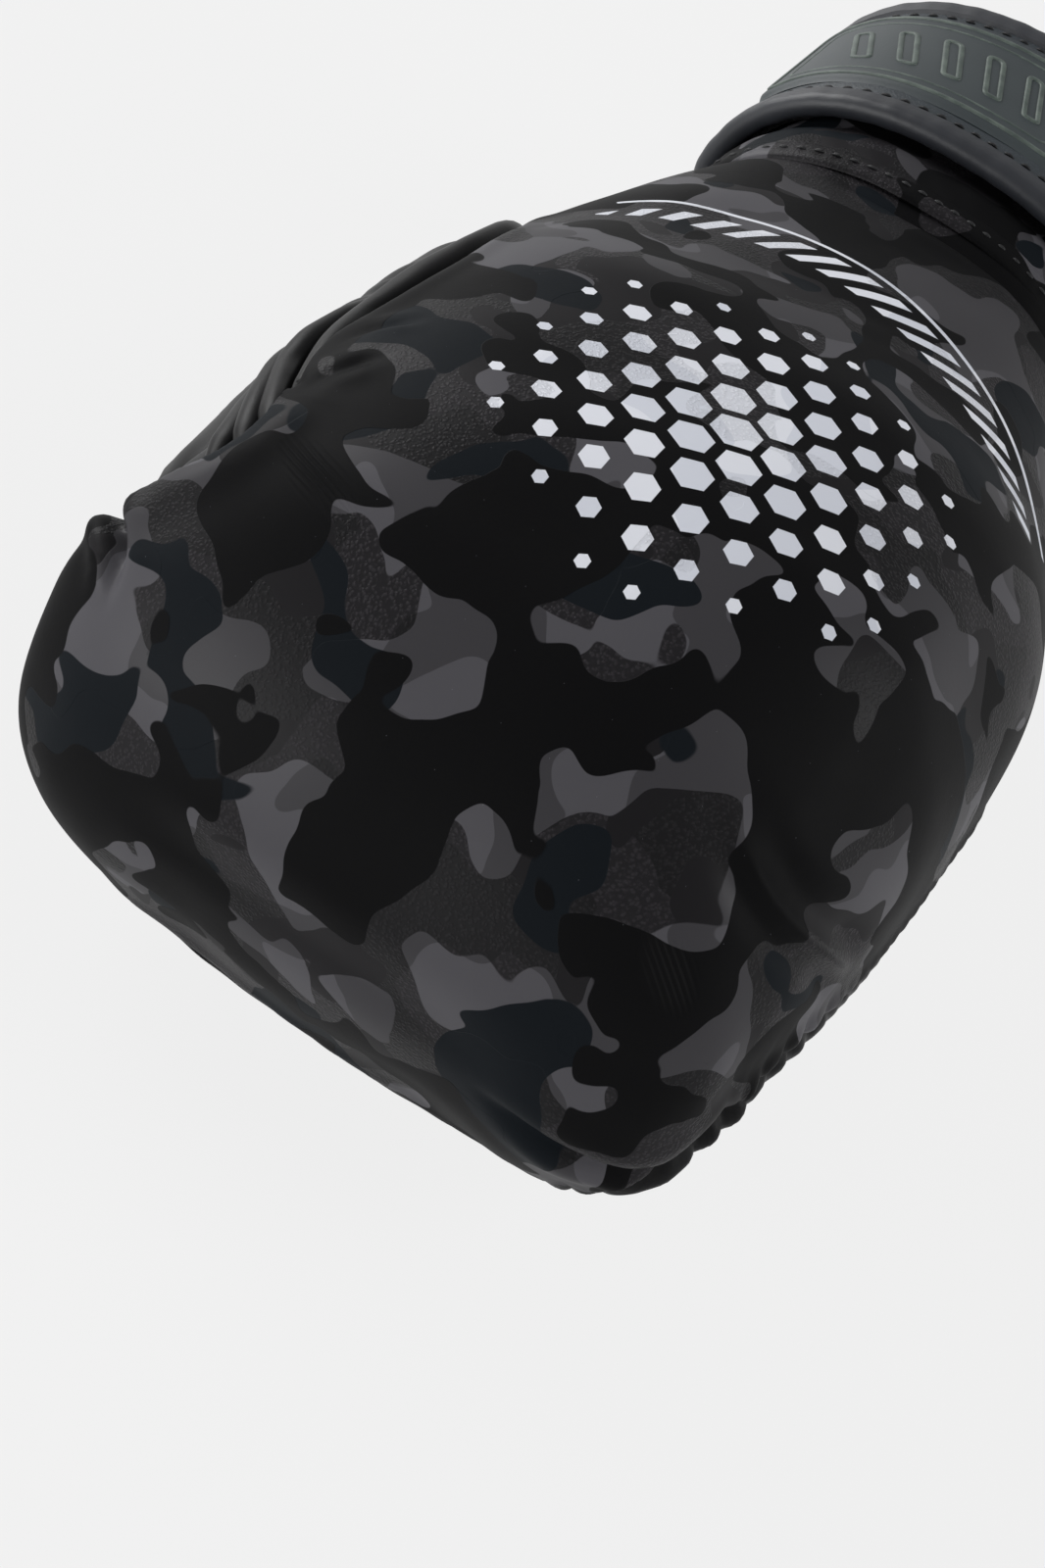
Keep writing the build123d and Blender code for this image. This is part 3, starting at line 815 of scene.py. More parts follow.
# the room for the hand: y, across, height, half width, half height
LINING_STATIONS = [
    (-66.0, 4.0, 60.0, 37.0, 29.0), (-50.0, 2.5, 62.0, 38.0, 28.0), (-30.0, 0.0, 65.0, 40.5, 24.0),
    (-10.0, 0.0, 66.5, 41.5, 20.5), (20.0, 0.0, 66.5, 41.5, 20.3), (60.0, 0.0, 66.0, 41.0, 20.0),
    (80.0, 0.0, 62.0, 40.0, 22.0), (92.0, 0.0, 56.0, 37.0, 24.0), (97.5, 0.0, 52.0, 28.0, 18.0),
]


def cuff_outline():
    angle = np.linspace(0, 360, 7201)
    rad = np.radians(angle)
    x, z = CUFF_HALF[0] * power(np.cos(rad), CUFF_POWER), CUFF_HALF[1] * power(np.sin(rad), CUFF_POWER)
    return angle, lengths(np.hypot(np.diff(x), np.diff(z)))


CUFF_ANGLES, CUFF_LENGTHS = cuff_outline()
CUFF_ROUND = CUFF_LENGTHS[-1]


def round_to(angle):
    """How far round the cuff's cover an angle lies, from the thumb side over the top, in millimetres."""
    return np.interp(angle, CUFF_ANGLES, CUFF_LENGTHS)


def cuff_at(length, out):
    """x and z at a distance round the cuff and a distance out from its cover."""
    rad = np.radians(np.interp(np.mod(length, CUFF_ROUND), CUFF_LENGTHS, CUFF_ANGLES))
    c, s = np.cos(rad), np.sin(rad)
    x, z = CUFF_HALF[0] * power(c, CUFF_POWER), CUFF_HALF[1] * power(s, CUFF_POWER)
    nx = np.sign(c) * np.abs(x / CUFF_HALF[0]) ** (CUFF_POWER - 1) / CUFF_HALF[0]
    nz = np.sign(s) * np.abs(z / CUFF_HALF[1]) ** (CUFF_POWER - 1) / CUFF_HALF[1]
    size = np.hypot(nx, nz)
    return CUFF_CENTRE[0] + x + out * nx / size, CUFF_CENTRE[1] + z + out * nz / size


def on_cuff(length, y, out):
    x, z = cuff_at(length, out)
    return np.stack([x, y + 0 * x, z], 1)


def bent_grid(name, columns, rows, place, thickness=0.0, flip=False, closed=False):
    """A flat grid, bent to its place by a function of its two shares; it can get a thickness, inwards."""
    bpy.ops.mesh.primitive_grid_add(x_subdivisions=columns, y_subdivisions=rows, size=2)
    obj = object_from(name)
    co = points(obj)
    set_points(obj, place((co[:, 0] + 1) / 2, (co[:, 1] + 1) / 2) * MM)
    in_edit(obj)
    if closed:
        bpy.ops.mesh.remove_doubles(threshold=0.00001)
    if flip:
        bpy.ops.mesh.flip_normals()
    out_of_edit()
    if thickness:
        thickened(obj, thickness)
    shade(obj, 50)
    return obj


def resampled(path, count):
    path = np.asarray(path, float)
    length = path_lengths(path)
    even = np.linspace(0, length[-1], count)
    return np.stack([np.interp(even, length, path[:, k]) for k in range(path.shape[1])], 1)


def rounded_path(corners, radius):
    """A path through corners, each rounded off, given as (across, y) pairs or more values."""
    corners = [np.asarray(c, float) for c in corners]
    path = [corners[0]]
    for before, corner, after in zip(corners[:-2], corners[1:-1], corners[2:]):
        a, b = before - corner, after - corner
        reach = min(radius, np.linalg.norm(a) * 0.49, np.linalg.norm(b) * 0.49)
        a, b = corner + a / np.linalg.norm(a) * reach, corner + b / np.linalg.norm(b) * reach
        for t in np.linspace(0, 1, 13):
            path.append((1 - t) ** 2 * a + 2 * t * (1 - t) * corner + t ** 2 * b)
    path.append(corners[-1])
    return np.array(path)


def edge_roll(name, path, half, out, reach, columns, thickness):
    """A binding rolled over an edge: the path runs round the cuff, with the material on its left."""
    line = resampled(path, columns + 1)
    tangent = unit(np.gradient(line, axis=0))
    inward = np.stack([-tangent[:, 1], tangent[:, 0]], 1)
    turn = np.linspace(0, math.pi, 15)
    into = np.concatenate([[reach + 0.3, reach, reach * 0.62], half * (1 - np.sin(turn)),
                           [reach * 0.62, reach, reach + 0.3]])
    rise = np.concatenate([[half - 0.75, half - 0.15, half], half * np.cos(turn),
                           [-half, -half + 0.15, -half + 0.75]])
    rows = len(into) - 1

    def place(u, v):
        i, j = number_of(u, columns), number_of(v, rows)
        at = line[i] + into[j][:, None] * inward[i]
        wave = 1 + 0.05 * np.sin(i * 0.9) * np.sin(i * 0.23 + 1)
        return on_cuff(at[:, 0], at[:, 1], out + rise[j] * wave)

    obj = bent_grid(name, columns, rows, place, thickness, flip=True)
    shade(obj, 60)
    return obj


def stitch_row(name, places, outs, along, length):
    """Stitches at places, each lying along its direction; one is modelled and the others are its copies."""
    bpy.ops.mesh.primitive_uv_sphere_add(segments=8, ring_count=6, radius=1)
    one = object_from(name)
    co = points(one) * (length / 2, STITCH_WIDTH / 2, STITCH_WIDTH / 2.4)
    co[:, 2] -= 0.25 * (co[:, 0] / (length / 2)) ** 2
    faces = [tuple(p.vertices) for p in one.data.polygons]
    side = np.cross(outs, along)
    every = places[:, None]
    for k, direction in enumerate((along, side, outs)):
        every = every + co[None, :, k:k + 1] * direction[:, None]
    mesh = bpy.data.meshes.new(name)
    count = len(co)
    mesh.from_pydata((every.reshape(-1, 3) * MM).tolist(), [],
                     [tuple(v + k * count for v in f) for k in range(len(places)) for f in faces])
    one.data = mesh
    shade(one)
    return one


def cuff_stitches(name, path, out, pitch, length):
    """Stitches along a path on the cuff or the strap, at a distance out from the cuff's cover."""
    path = np.asarray(path, float)
    total = np.linalg.norm(np.diff(path, axis=0), axis=1).sum()
    line = resampled(path, max(int(total / pitch), 2))
    next_line = line + 0.4 * unit(np.gradient(line, axis=0))
    here = on_cuff(*line.T, out)
    ahead = on_cuff(*next_line.T, out)
    above = on_cuff(*line.T, out + 1)
    return stitch_row(name, here, above - here, unit(ahead - here), length)


def slit_lengths():
    """How far round the cuff the slit's two edges lie."""
    length = np.linspace(round_to(225), round_to(315), 4000)
    x, _ = cuff_at(length, 0)
    return np.interp(SLIT[0], x, length), np.interp(SLIT[1], x, length)


def cuff_wrinkles(length, y):
    """Low wrinkles of the cuff's cover, as a distance out from it."""
    return (0.25 * np.sin(length * 0.14 + 0.5) * np.sin(y * 0.21) + 0.15 * np.sin(length * 0.31 + y * 0.09)
            + 0.05 * np.sin(length * 0.77 - y * 0.5))


def make_cuff():
    left, right = slit_lengths()
    back = 3.5
    columns = 288
    start = right + back
    span = CUFF_ROUND - (right - left) - 2 * back
    end_y = CUFF_MOUTH + back
    slit_end = CUFF_MOUTH + SLIT[2] + back

    def wall(out_at):
        """The cuff's sheet: whole in front of the slit and open along it, closing in over its end."""
        def place(u, v):
            y = CUFF_FRONT + (end_y - CUFF_FRONT) * v
            open_part = smooth(-y, -(slit_end + 6), -(slit_end + 2))
            middle = (left + right) / 2
            from_length = middle + (start - middle) * open_part
            spread = CUFF_ROUND + (span - CUFF_ROUND) * open_part
            length = from_length + spread * u
            return on_cuff(length, y, out_at(length, y))
        return place

    def outside(length, y):
        puff_up = 1.7 * smooth(-y, 61, 64) * (1 - smooth(-y, 70, 77.5))
        under_strap = -0.3 * smooth(-y, 76, 80) * (1 - smooth(-y, 134, 138))
        near_mouth = 0.9 * np.sin(math.pi * np.clip((-136 - y) / 9.0, 0, 1))
        return puff_up + under_strap + near_mouth + cuff_wrinkles(length, y) * (1 - smooth(-y, 72, 77))

    def inside(length, y):
        return -CUFF_WALL + 0.5 * np.sin(y * 0.3) * np.sin(length * 0.1)

    cover = bent_grid("cuff_cover", columns, 96, wall(outside), LEATHER)
    lining = bent_grid("cuff_lining", columns, 64, wall(inside), 0.8, flip=True)
    cover_nodes = ("cuff_shell", "cuff_foam_back", "cuff_foam_palm")
    for obj, nodes, slot_name in ((cover, cover_nodes, "printed_cover"),
                                  (lining, ("cuff_liner",), "lining_cloth")):
        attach(obj, "glove_body")
        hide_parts(*nodes)
    slit_top = CUFF_MOUTH + SLIT[2]
    path = rounded_path([(right + 40, CUFF_MOUTH), (right + CUFF_ROUND - (right - left), CUFF_MOUTH),
                         (left + CUFF_ROUND, slit_top), (right + CUFF_ROUND, slit_top),
                         (right + CUFF_ROUND, CUFF_MOUTH), (right + CUFF_ROUND + 40, CUFF_MOUTH)], 5.0)
    binding = edge_roll("mouth_binding", path, MOUTH_HALF, -CUFF_WALL / 2, 8.0, 520, 0.9)
    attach(binding, "glove_body")
    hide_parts("cuff_binding")
    return cover, lining, binding


def make_welt():
    """The cuff's turned front edge, which overlaps the hand, with its seam."""
    profile = resampled(rounded_path(WELT_PROFILE, 0.8), 25)
    rows, columns = 24, 320

    def place(u, v):
        j = number_of(v, rows)
        length = u * CUFF_ROUND
        pull = 0.09 * np.cos(length * 2 * math.pi / WELT_STITCHES[0]) * bell(profile[j, 0] - WELT_SEAM, 1.4)
        wave = 0.12 * np.sin(length * 0.09) + 0.07 * np.sin(length * 0.23)
        out = profile[j, 1] + (pull + wave) * np.clip(profile[j, 1], 0, 1)
        y = profile[j, 0] + 0.5 * np.sin(length * 0.045 + 1) + 0.08 * np.sin(length * 0.31)
        return on_cuff(length, y, out)

    welt = bent_grid("wrist_welt_edge", columns, rows, place, closed=True)
    turn = np.linspace(0, CUFF_ROUND, 400)
    seam = np.stack([turn, WELT_SEAM + 0.5 * np.sin(turn * 0.045 + 1)], 1)
    stitches = cuff_stitches("wrist_welt_stitches", seam, 2.15, *WELT_STITCHES)
    for obj in (welt, stitches):
        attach(obj, "glove_body")
    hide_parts("wrist_welt")
    return welt, stitches


def make_gusset():
    """The elastic behind the slit."""
    left, right = slit_lengths()
    low_y, high_y = CUFF_MOUTH + 1.5, CUFF_MOUTH + SLIT[2] + 3

    def place(u, v):
        length = left - 5 + (right - left + 10) * u
        y = low_y + (high_y - low_y) * v
        return on_cuff(length, y, -3.6 - 1.2 * np.sin(math.pi * u) + 0.25 * np.sin(u * math.pi * 12))

    obj = bent_grid("slit_elastic", 96, 64, place, 1.1, flip=True)
    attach(obj, "glove_body")
    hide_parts("wrist_gusset")
    return obj


def make_hand_lining():
    """The lined room for the hand: from the cuff's throat to the fingertips, closed at its far end."""
    first, last = LINING_STATIONS[0][0], LINING_STATIONS[-1][0]

    def place(u, v):
        t = np.clip(v / 0.92, 0, 1)
        close = 1 - np.clip((v - 0.92) / 0.08, 0, 1)
        y = first + (last - first) * t
        across, height, half_width, half_height = curve_through(LINING_STATIONS, y).T
        angle = 2 * math.pi * u
        folds = 1 + 0.012 * np.sin(9 * angle + y * 0.08) + 0.006 * np.sin(23 * angle - y * 0.15)
        x = across + half_width * power(np.cos(angle), 3) * close * folds
        z = height + half_height * power(np.sin(angle), 3) * close * folds
        return np.stack([x, y, z], 1)

    obj = bent_grid("hand_lining", 160, 96, place, 0.8, closed=True)
    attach(obj, "glove_body")
    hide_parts("hand_liner")
    return obj


def corner_cut(into, corner):
    """How much a rounded corner takes off a side, at a distance into the shape from its end."""
    cut = np.clip(corner - into, 0, corner)
    return corner - np.sqrt(np.maximum(corner ** 2 - cut ** 2, 0))


def strap_sheet(name, first, last, tip, inner, columns):
    """One length of the strap, from one distance round the cuff to another, rounded off at its tip."""
    middle, whole = (STRAP[0] + STRAP[1]) / 2, (STRAP[0] - STRAP[1]) / 2

    def place(u, v):
        length = first + (last - first) * u
        half = whole - corner_cut(np.abs(length - tip), STRAP_CORNER) - 1.6
        y = middle + half * (1 - 2 * v)
        crown = 0.55 * (1 - (2 * v - 1) ** 6) + 0.18 * np.sin(length * 0.17) * np.sin(y * 0.12)
        dip = 0.16 * bell(np.abs(y - middle) - 22.0, 1.0)
        return on_cuff(length, y, STRAP_OUT[1] + crown - dip - 0.25)

    return bent_grid(name, columns, 72, place, STRAP_OUT[1] - inner)


def round_end(start, end, y_from, y_to, radius):
    """A path from the strap's split round one of its ends and back."""
    return rounded_path([(start, y_from), (end, y_from), (end, y_to), (start, y_to)], radius)


def make_strap():
    """The strap: a lower length sewn to the cuff, and an upper one that wraps over the wrist."""
    tip, split, sewn = (float(round_to(angle)) for angle in (STRAP_TIP, STRAP_SPLIT, STRAP_SEWN))
    front, rear = STRAP
    front_seam, rear_seam = front - SEAM_INSET, rear + SEAM_INSET
    middle_out = (STRAP_OUT[0] + STRAP_OUT[1]) / 2
    lower = strap_sheet("strap_lower_cover", split - 0.3, sewn, sewn, 1.9, 168)
    upper = strap_sheet("strap_upper_cover", tip, split, tip, STRAP_OUT[0], 272)
    upper_path = round_end(split, tip, front, rear, STRAP_CORNER)
    lower_path = round_end(split, sewn, rear, front, STRAP_CORNER)
    upper_roll = edge_roll("strap_upper_binding", upper_path, ROLL_HALF, middle_out, 5.2, 420, 0.6)
    lower_roll = edge_roll("strap_lower_binding", lower_path, ROLL_HALF, middle_out, 5.2, 320, 0.6)
    upper_seam = round_end(split - 1.8, tip + SEAM_INSET, front_seam, rear_seam, 3.0)
    lower_seam = round_end(split + 1.8, sewn - SEAM_INSET, rear_seam, front_seam, 3.0)
    sewn_out = STRAP_OUT[1] + 0.3
    upper_stitches = cuff_stitches("strap_upper_stitches", upper_seam, sewn_out, *STRAP_STITCHES)
    lower_stitches = cuff_stitches("strap_lower_stitches", lower_seam, sewn_out, *STRAP_STITCHES)
    for obj in (lower, lower_roll, lower_stitches):
        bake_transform(obj)
    for obj in (upper, upper_roll, upper_stitches):
        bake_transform(obj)
    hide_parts("strap_root", "strap_middle")
    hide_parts("strap_root_binding", "strap_middle_binding")
    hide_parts("strap_end")
    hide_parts("strap_end_binding")
    return lower, upper, lower_roll, upper_roll, lower_stitches, upper_stitches


BADGE = (24.0, 106.0, 10.0, 1.4)      # from angle, to angle, margin to the strap's edges, thickness
BADGE_CORNER = 5.0
BADGE_LOOPS = ((2.8, 0.62, 0.55), (6.0, 0.35, 0.35))      # inset, half width, height
BADGE_BARS = 5
BAR_INSET = (11.0, 11.5)              # the bars' distance from the badge's ends and from its sides
BAR_LEAN = 5.0


def leaning_loop(left, right, front, rear, lean, radius):
    """A closed path round a four-sided shape with rounded corners, its front leaning to one side."""
    middle = ((left + right) / 2 + lean, front)
    return rounded_path([middle, (left + lean, front), (left, rear), (right, rear), (right + lean, front),
                         middle], radius)


def ridge(name, path, out, half_width, height, columns):
    """A raised half-round line along a closed path on the badge."""
    line = resampled(path, columns + 1)
    tangent = np.gradient(line, axis=0)
    tangent[0] = tangent[-1] = line[1] - line[-2]
    tangent = unit(tangent)
    inward = np.stack([-tangent[:, 1], tangent[:, 0]], 1)
    across = np.array([-1.0, -0.92, -0.7, -0.3, 0.0, 0.3, 0.7, 0.92, 1.0]) * half_width
    rise = np.array([-0.4, 0.45, 0.85, 0.98, 1.0, 0.98, 0.85, 0.45, -0.4]) * height

    def place(u, v):
        i, j = number_of(u, columns), number_of(v, 8)
        at = line[i] + across[j][:, None] * inward[i]
        return on_cuff(at[:, 0], at[:, 1], out + rise[j])

    return bent_grid(name, columns, 8, place, closed=True, flip=True)


def make_badge():
    """The plain moulded badge on the strap, with its raised frame and bars."""
    first, last = float(round_to(BADGE[0])), float(round_to(BADGE[1]))
    front, rear = STRAP[0] - BADGE[2], STRAP[1] + BADGE[2]
    top = STRAP_OUT[1] + BADGE[3]
    middle, half = (front + rear) / 2, (front - rear) / 2

    def place(u, v):
        length = first + (last - first) * u
        into = np.minimum(length - first, last - length)
        narrow = half - corner_cut(into, BADGE_CORNER)
        y = middle + narrow * (1 - 2 * v)
        edge = np.minimum(into, narrow - np.abs(y - middle))
        return on_cuff(length, y, top - 1.1 * bell(edge, 1.3))

    badge = bent_grid("wrist_badge", 160, 72, place, 1.9)
    loops = []
    for k, (inset, width, height) in enumerate(BADGE_LOOPS):
        path = leaning_loop(first + inset, last - inset, front - inset, rear + inset, 0.0, 3.5)
        loops.append(ridge(f"badge_loop_{k}", path, top - 0.2, width, height, 420))
    end_inset, side_inset = BAR_INSET
    pitch = ((last - first) - 2 * end_inset) / BADGE_BARS
    for k in range(BADGE_BARS):
        left = first + end_inset + pitch * k + 1.2
        right = left + pitch - 4.2 - 1.5
        path = leaning_loop(left, right, front - side_inset, rear + side_inset, BAR_LEAN, 1.6)
        loops.append(ridge(f"badge_bar_{k}", path, top - 0.2, 0.62, 0.55, 150))
    raised = joined("badge_raised_lines", loops)
    for obj in (badge, raised):
        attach(obj, "strap_upper_part")
    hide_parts("strap_badge")
    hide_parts("badge_frame")
    return badge, raised


# ---------------------------------------------------------------- materials
class Shade:
    """An output of a material's node, in Python: arithmetic on it adds Math nodes."""

    def __init__(self, tree, socket=None):
        self.tree = tree
        self.socket = socket

    def add(self, kind, inputs=None, output=0, **settings):
        """Adds a node: its settings come first, then values or links for its sockets."""
        node = self.tree.nodes.new(kind)
        for key, value in settings.items():
            setattr(node, key, value)
        for key, value in (inputs or {}).items():
            if isinstance(value, Shade):
                self.tree.links.new(value.socket, node.inputs[key])
            else:
                node.inputs[key].default_value = value
        return Shade(self.tree, node.outputs[output])

    def maths(self, operation, *others):
        return self.add("ShaderNodeMath", dict(enumerate((self, *others))), operation=operation)

    def __add__(self, other):
        return self.maths("ADD", other)

    def __sub__(self, other):
        return self.maths("SUBTRACT", other)

    def __rsub__(self, other):
        return self.add("ShaderNodeMath", {0: other, 1: self}, operation="SUBTRACT")

    def __mul__(self, other):
        return self.maths("MULTIPLY", other)

    def __truediv__(self, other):
        return self.maths("DIVIDE", other)

    def __neg__(self):
        return self.maths("MULTIPLY", -1.0)

    __radd__ = __add__
    __rmul__ = __mul__

    def more(self, other):
        """The larger of the two."""
        return self.maths("MAXIMUM", other)

    def step(self, low, high):
        """0 below low, 1 above high, smooth in between."""
        return self.add("ShaderNodeMapRange", {"Value": self, "From Min": low, "From Max": high},
                        interpolation_type="SMOOTHSTEP", clamp=True)

    def mix(self, first, second):
        """Between two colours by this value."""
        return self.add("ShaderNodeMix", {"Factor": self, "A": first, "B": second}, 2, data_type="RGBA")


def tone(red, green, blue):
    """A colour from its ordinary 0 to 255 numbers."""
    def linear(c):
        c = c / 255
        return c / 12.92 if c <= 0.04045 else ((c + 0.055) / 1.055) ** 2.4
    return linear(red), linear(green), linear(blue), 1.0


class Finish:
    """A material under construction: where on the piece, and what goes into its main shader."""

    def __init__(self, name, **fixed):
        self.material = bpy.data.materials.new(name)
        self.material.use_nodes = True
        self.tree = self.material.node_tree
        self.shader = self.tree.nodes["Principled BSDF"]
        for key, value in fixed.items():
            self.shader.inputs[key.replace("_", " ")].default_value = value
        self.first = Shade(self.tree)
        place = self.first.add("ShaderNodeTexCoord", output=3)
        self.where = self.first.add("ShaderNodeVectorMath", {0: place, "Scale": 1000.0}, operation="SCALE")

    def noise(self, scale, detail, roughness=0.5, distortion=0.0, at=None, shift=0.0):
        """A noise pattern; a shift takes another part of it."""
        at = at or self.where
        if shift:
            at = self.vector("ADD", at, (shift, shift * 0.7, -shift * 1.3))
        return self.first.add("ShaderNodeTexNoise", {"Vector": at, "Scale": scale, "Detail": detail,
                                                     "Roughness": roughness, "Distortion": distortion})

    def cells(self, scale, feature, at=None, randomness=1.0, **more):
        inputs = {"Vector": at or self.where, "Scale": scale, "Randomness": randomness, **more}
        return self.first.add("ShaderNodeTexVoronoi", inputs, feature=feature)

    def vector(self, operation, first, second):
        return self.first.add("ShaderNodeVectorMath", {0: first, 1: second}, operation=operation)

    def warped(self, amount, scale):
        """The place on the piece, pushed about by noise."""
        inputs = {"Vector": self.where, "Scale": scale, "Detail": 1.0}
        push = self.first.add("ShaderNodeTexNoise", inputs, 1)
        centred = self.vector("SUBTRACT", push, (0.5, 0.5, 0.5))
        grown = self.first.add("ShaderNodeVectorMath", {0: centred, "Scale": amount}, operation="SCALE")
        return self.vector("ADD", self.where, grown)

    def axes(self):
        """x, y and z of the place on the piece."""
        node = self.first.add("ShaderNodeSeparateXYZ", {0: self.where}).socket.node
        return [Shade(self.tree, node.outputs[k]) for k in range(3)]

    def bump(self, height, distance, strength):
        inputs = {"Height": height, "Distance": distance * MM, "Strength": strength}
        return self.first.add("ShaderNodeBump", inputs)

    def put(self, **links):
        for key, value in links.items():
            self.tree.links.new(value.socket, self.shader.inputs[key.replace("_", " ")])
        return self.material


def leather_grain(finish, pebble):
    """Fine pores and, where pebble is 1, the raised beads of embossed leather."""
    at = finish.warped(0.7, 1.1)
    bead = 1 - finish.cells(1.45, "SMOOTH_F1", at, Smoothness=0.25).step(0.1, 0.62)
    fine = finish.noise(2.6, 3.0, 0.6)
    hair = finish.noise(0.5, 4.0, 0.62, 0.5, shift=40.0)
    return bead * pebble * 0.8 + fine * 0.12 + hair * 0.14, bead


# fine wrinkles at the two ends of the knuckles: middle, direction, direction across, length, width
FINE_WRINKLES = (
    ((40, 108.5, 100.5), (-0.89, 0.45, 0.08), (0.342, 0.772, -0.536), 11, 4.5),
    ((-50.5, 133, 75.5), (-0.764, 0.332, -0.553), (0.607, 0.659, -0.443), 8, 5),
)


def printed_cover():
    """Leather printed with a dark camouflage, embossed in some of its patches, with a foil print; painted
    shade darkens the embossed patches between their raised beads.
    """
    f = Finish("printed_cover", Specular_IOR_Level=0.05, Coat_Roughness=0.42)
    wobble = f.warped(6.5, 0.07)
    sharp = (1.25, 0.5, 0.35)       # detail, roughness and distortion of the patches' outlines
    soft = (1.2, 0.45, 0.3)
    black = f.noise(0.046, *sharp, at=wobble).step(0.512, 0.516)
    dark = f.noise(0.05, *soft, at=wobble, shift=61.0).step(0.575, 0.579)
    blue = f.noise(0.04, *soft, at=wobble, shift=387.0).step(0.6, 0.604)
    middle = f.noise(0.05, *soft, at=wobble, shift=133.0).step(0.5, 0.504)
    light = f.noise(0.044, *sharp, at=wobble, shift=217.0).step(0.525, 0.529)
    smooth_part = black.more(dark).more(light).more(blue)
    pebble = 1 - smooth_part
    height, bead = leather_grain(f, pebble)
    base = middle.mix(tone(31, 30, 32), tone(43, 41, 44))
    # painted shade: the embossed patches are darker between their raised beads, where the bump dips
    base = ((1 - bead) * pebble * 0.62).mix(base, tone(16, 16, 17))
    base = dark.mix(base, tone(23, 22, 24))
    base = light.mix(base, middle.mix(tone(53, 52, 55), tone(72, 71, 75)))
    base = blue.mix(base, tone(17, 21, 25))
    base = black.mix(base, tone(11, 11, 12))
    x, y, z = f.axes()
    foil = foil_print(x, y, z)
    silver = middle.mix(tone(198, 201, 210), tone(212, 214, 221))
    # painted shade on the foil as well: darker between the beads of the embossed patches
    silver = ((1 - bead) * 0.35 * pebble).mix(silver, tone(170, 172, 180))
    base = foil.mix(base, silver)
    rough = 0.55 - 0.1 * pebble + f.noise(0.09, 3.0) * 0.08
    rough = rough * (1 - foil) + 0.4 * foil
    glossy = 1 - black.more(blue)
    coat = glossy * 0.12 + light * glossy * 0.1 + foil * 0.2
    print_edge = black.more(light) * 0.3
    thumb_knuckle, pinky_knuckle = (wrinkles(x, y, z, *row) for row in FINE_WRINKLES)
    fine_folds = thumb_knuckle + pinky_knuckle
    normal = f.bump(height + print_edge + foil * 0.25 + fine_folds * 1.6, 0.2, 0.8)
    return f.put(Base_Color=base, Roughness=rough, Coat_Weight=coat, Normal=normal)


def wrinkles(x, y, z, centre, along, across, length, width):
    """Fine parallel wrinkles round a place on the leather, dying out at their ends."""
    dx, dy, dz = x - centre[0], y - centre[1], z - centre[2]
    run = dx * along[0] + dy * along[1] + dz * along[2]
    side = dx * across[0] + dy * across[1] + dz * across[2]
    bend = (run * 0.33).maths("SINE") * 0.8 + (run * 0.11 + side * 0.6).maths("SINE") * 1.4
    wave = (side * (2 * math.pi / 1.15) + bend).maths("SINE")
    near = 1 - (run * run * (1 / length ** 2) + side * side * (1 / width ** 2))
    return (wave * 0.5 - 0.5) * near.more(0.0)


def foil_print(x, y, z):
    """A generic honeycomb that thins out from its middle, and ticks along an arc near the wrist."""
    px, py = x + 8.0, y - 60.0
    side = 9.4                      # from one cell to the next
    rows = side * math.sqrt(3) / 2

    def hexagon(dx, dy):
        """How far a place is from a cell's middle, measured to its sides."""
        a = (dx * 0.5 + dy * (math.sqrt(3) / 2)).maths("ABSOLUTE")
        b = (dx * 0.5 - dy * (math.sqrt(3) / 2)).maths("ABSOLUTE")
        return a.more(b).more(dx.maths("ABSOLUTE"))

    def lattice(shift_x, shift_y):
        """How far a place is from its cell's middle, and where that middle lies."""
        cx = ((px + shift_x) / side).maths("ROUND") * side
        cy = ((py + shift_y) / (2 * rows)).maths("ROUND") * (2 * rows)
        dx, dy = px + shift_x - cx, py + shift_y - cy
        return hexagon(dx, dy), cx - shift_x, cy - shift_y

    near = None
    for shift_x, shift_y in ((0.0, 0.0), (side / 2, rows)):
        gap, cx, cy = lattice(shift_x, shift_y)
        away = hexagon(cx, cy)
        size = (1.0 - away / 42.0).more(0.0).maths("POWER", 0.55) * (side / 2 - 0.55)
        shown = (39.0 - away).step(0.0, 0.1)
        cell = (size * shown - gap).step(-0.06, 0.06)
        near = cell if near is None else near.more(cell)
    ring_x, ring_y = x - 4.0, y - 60.0
    radius = (ring_x * ring_x + ring_y * ring_y).maths("SQRT")
    turn = ring_x.maths("ARCTAN2", -ring_y)
    band = (turn + radius * 0.012) * (180 / math.pi / 5.2)
    tick = (band.maths("FRACT") - 0.5).maths("ABSOLUTE")
    part = (turn * (180 / math.pi) + 8.0).maths("ABSOLUTE")
    high = 4.6 * (1.0 - (part / 44.0).maths("POWER", 2.0)).more(0.0).maths("SQRT")
    across = (radius - 74.0).maths("ABSOLUTE")
    ticks = (0.24 - tick).step(-0.01, 0.01) * (high - across).step(0.0, 0.16)
    line = (0.55 - (radius - 81.5).maths("ABSOLUTE")).step(-0.08, 0.08) * (40.0 - part).step(-0.1, 0.1)
    top = z.step(78.0, 79.0) * (y + 52.0).step(0.0, 1.0)
    return near.more(ticks).more(line) * top


def smooth_cover():
    """Plain black leather, smooth, with fine creases."""
    f = Finish("smooth_cover", Specular_IOR_Level=0.12)
    fine = f.noise(2.2, 3.0, 0.6)
    creases = f.noise(0.32, 5.0, 0.62, 0.8)
    patch = f.noise(0.06, 3.0)
    height = fine * 0.14 + creases * 0.3
    base = patch.mix(tone(14, 14, 15), tone(22, 22, 23))
    return f.put(Base_Color=base, Roughness=0.38 + patch * 0.12, Normal=f.bump(height, 0.2, 0.7))


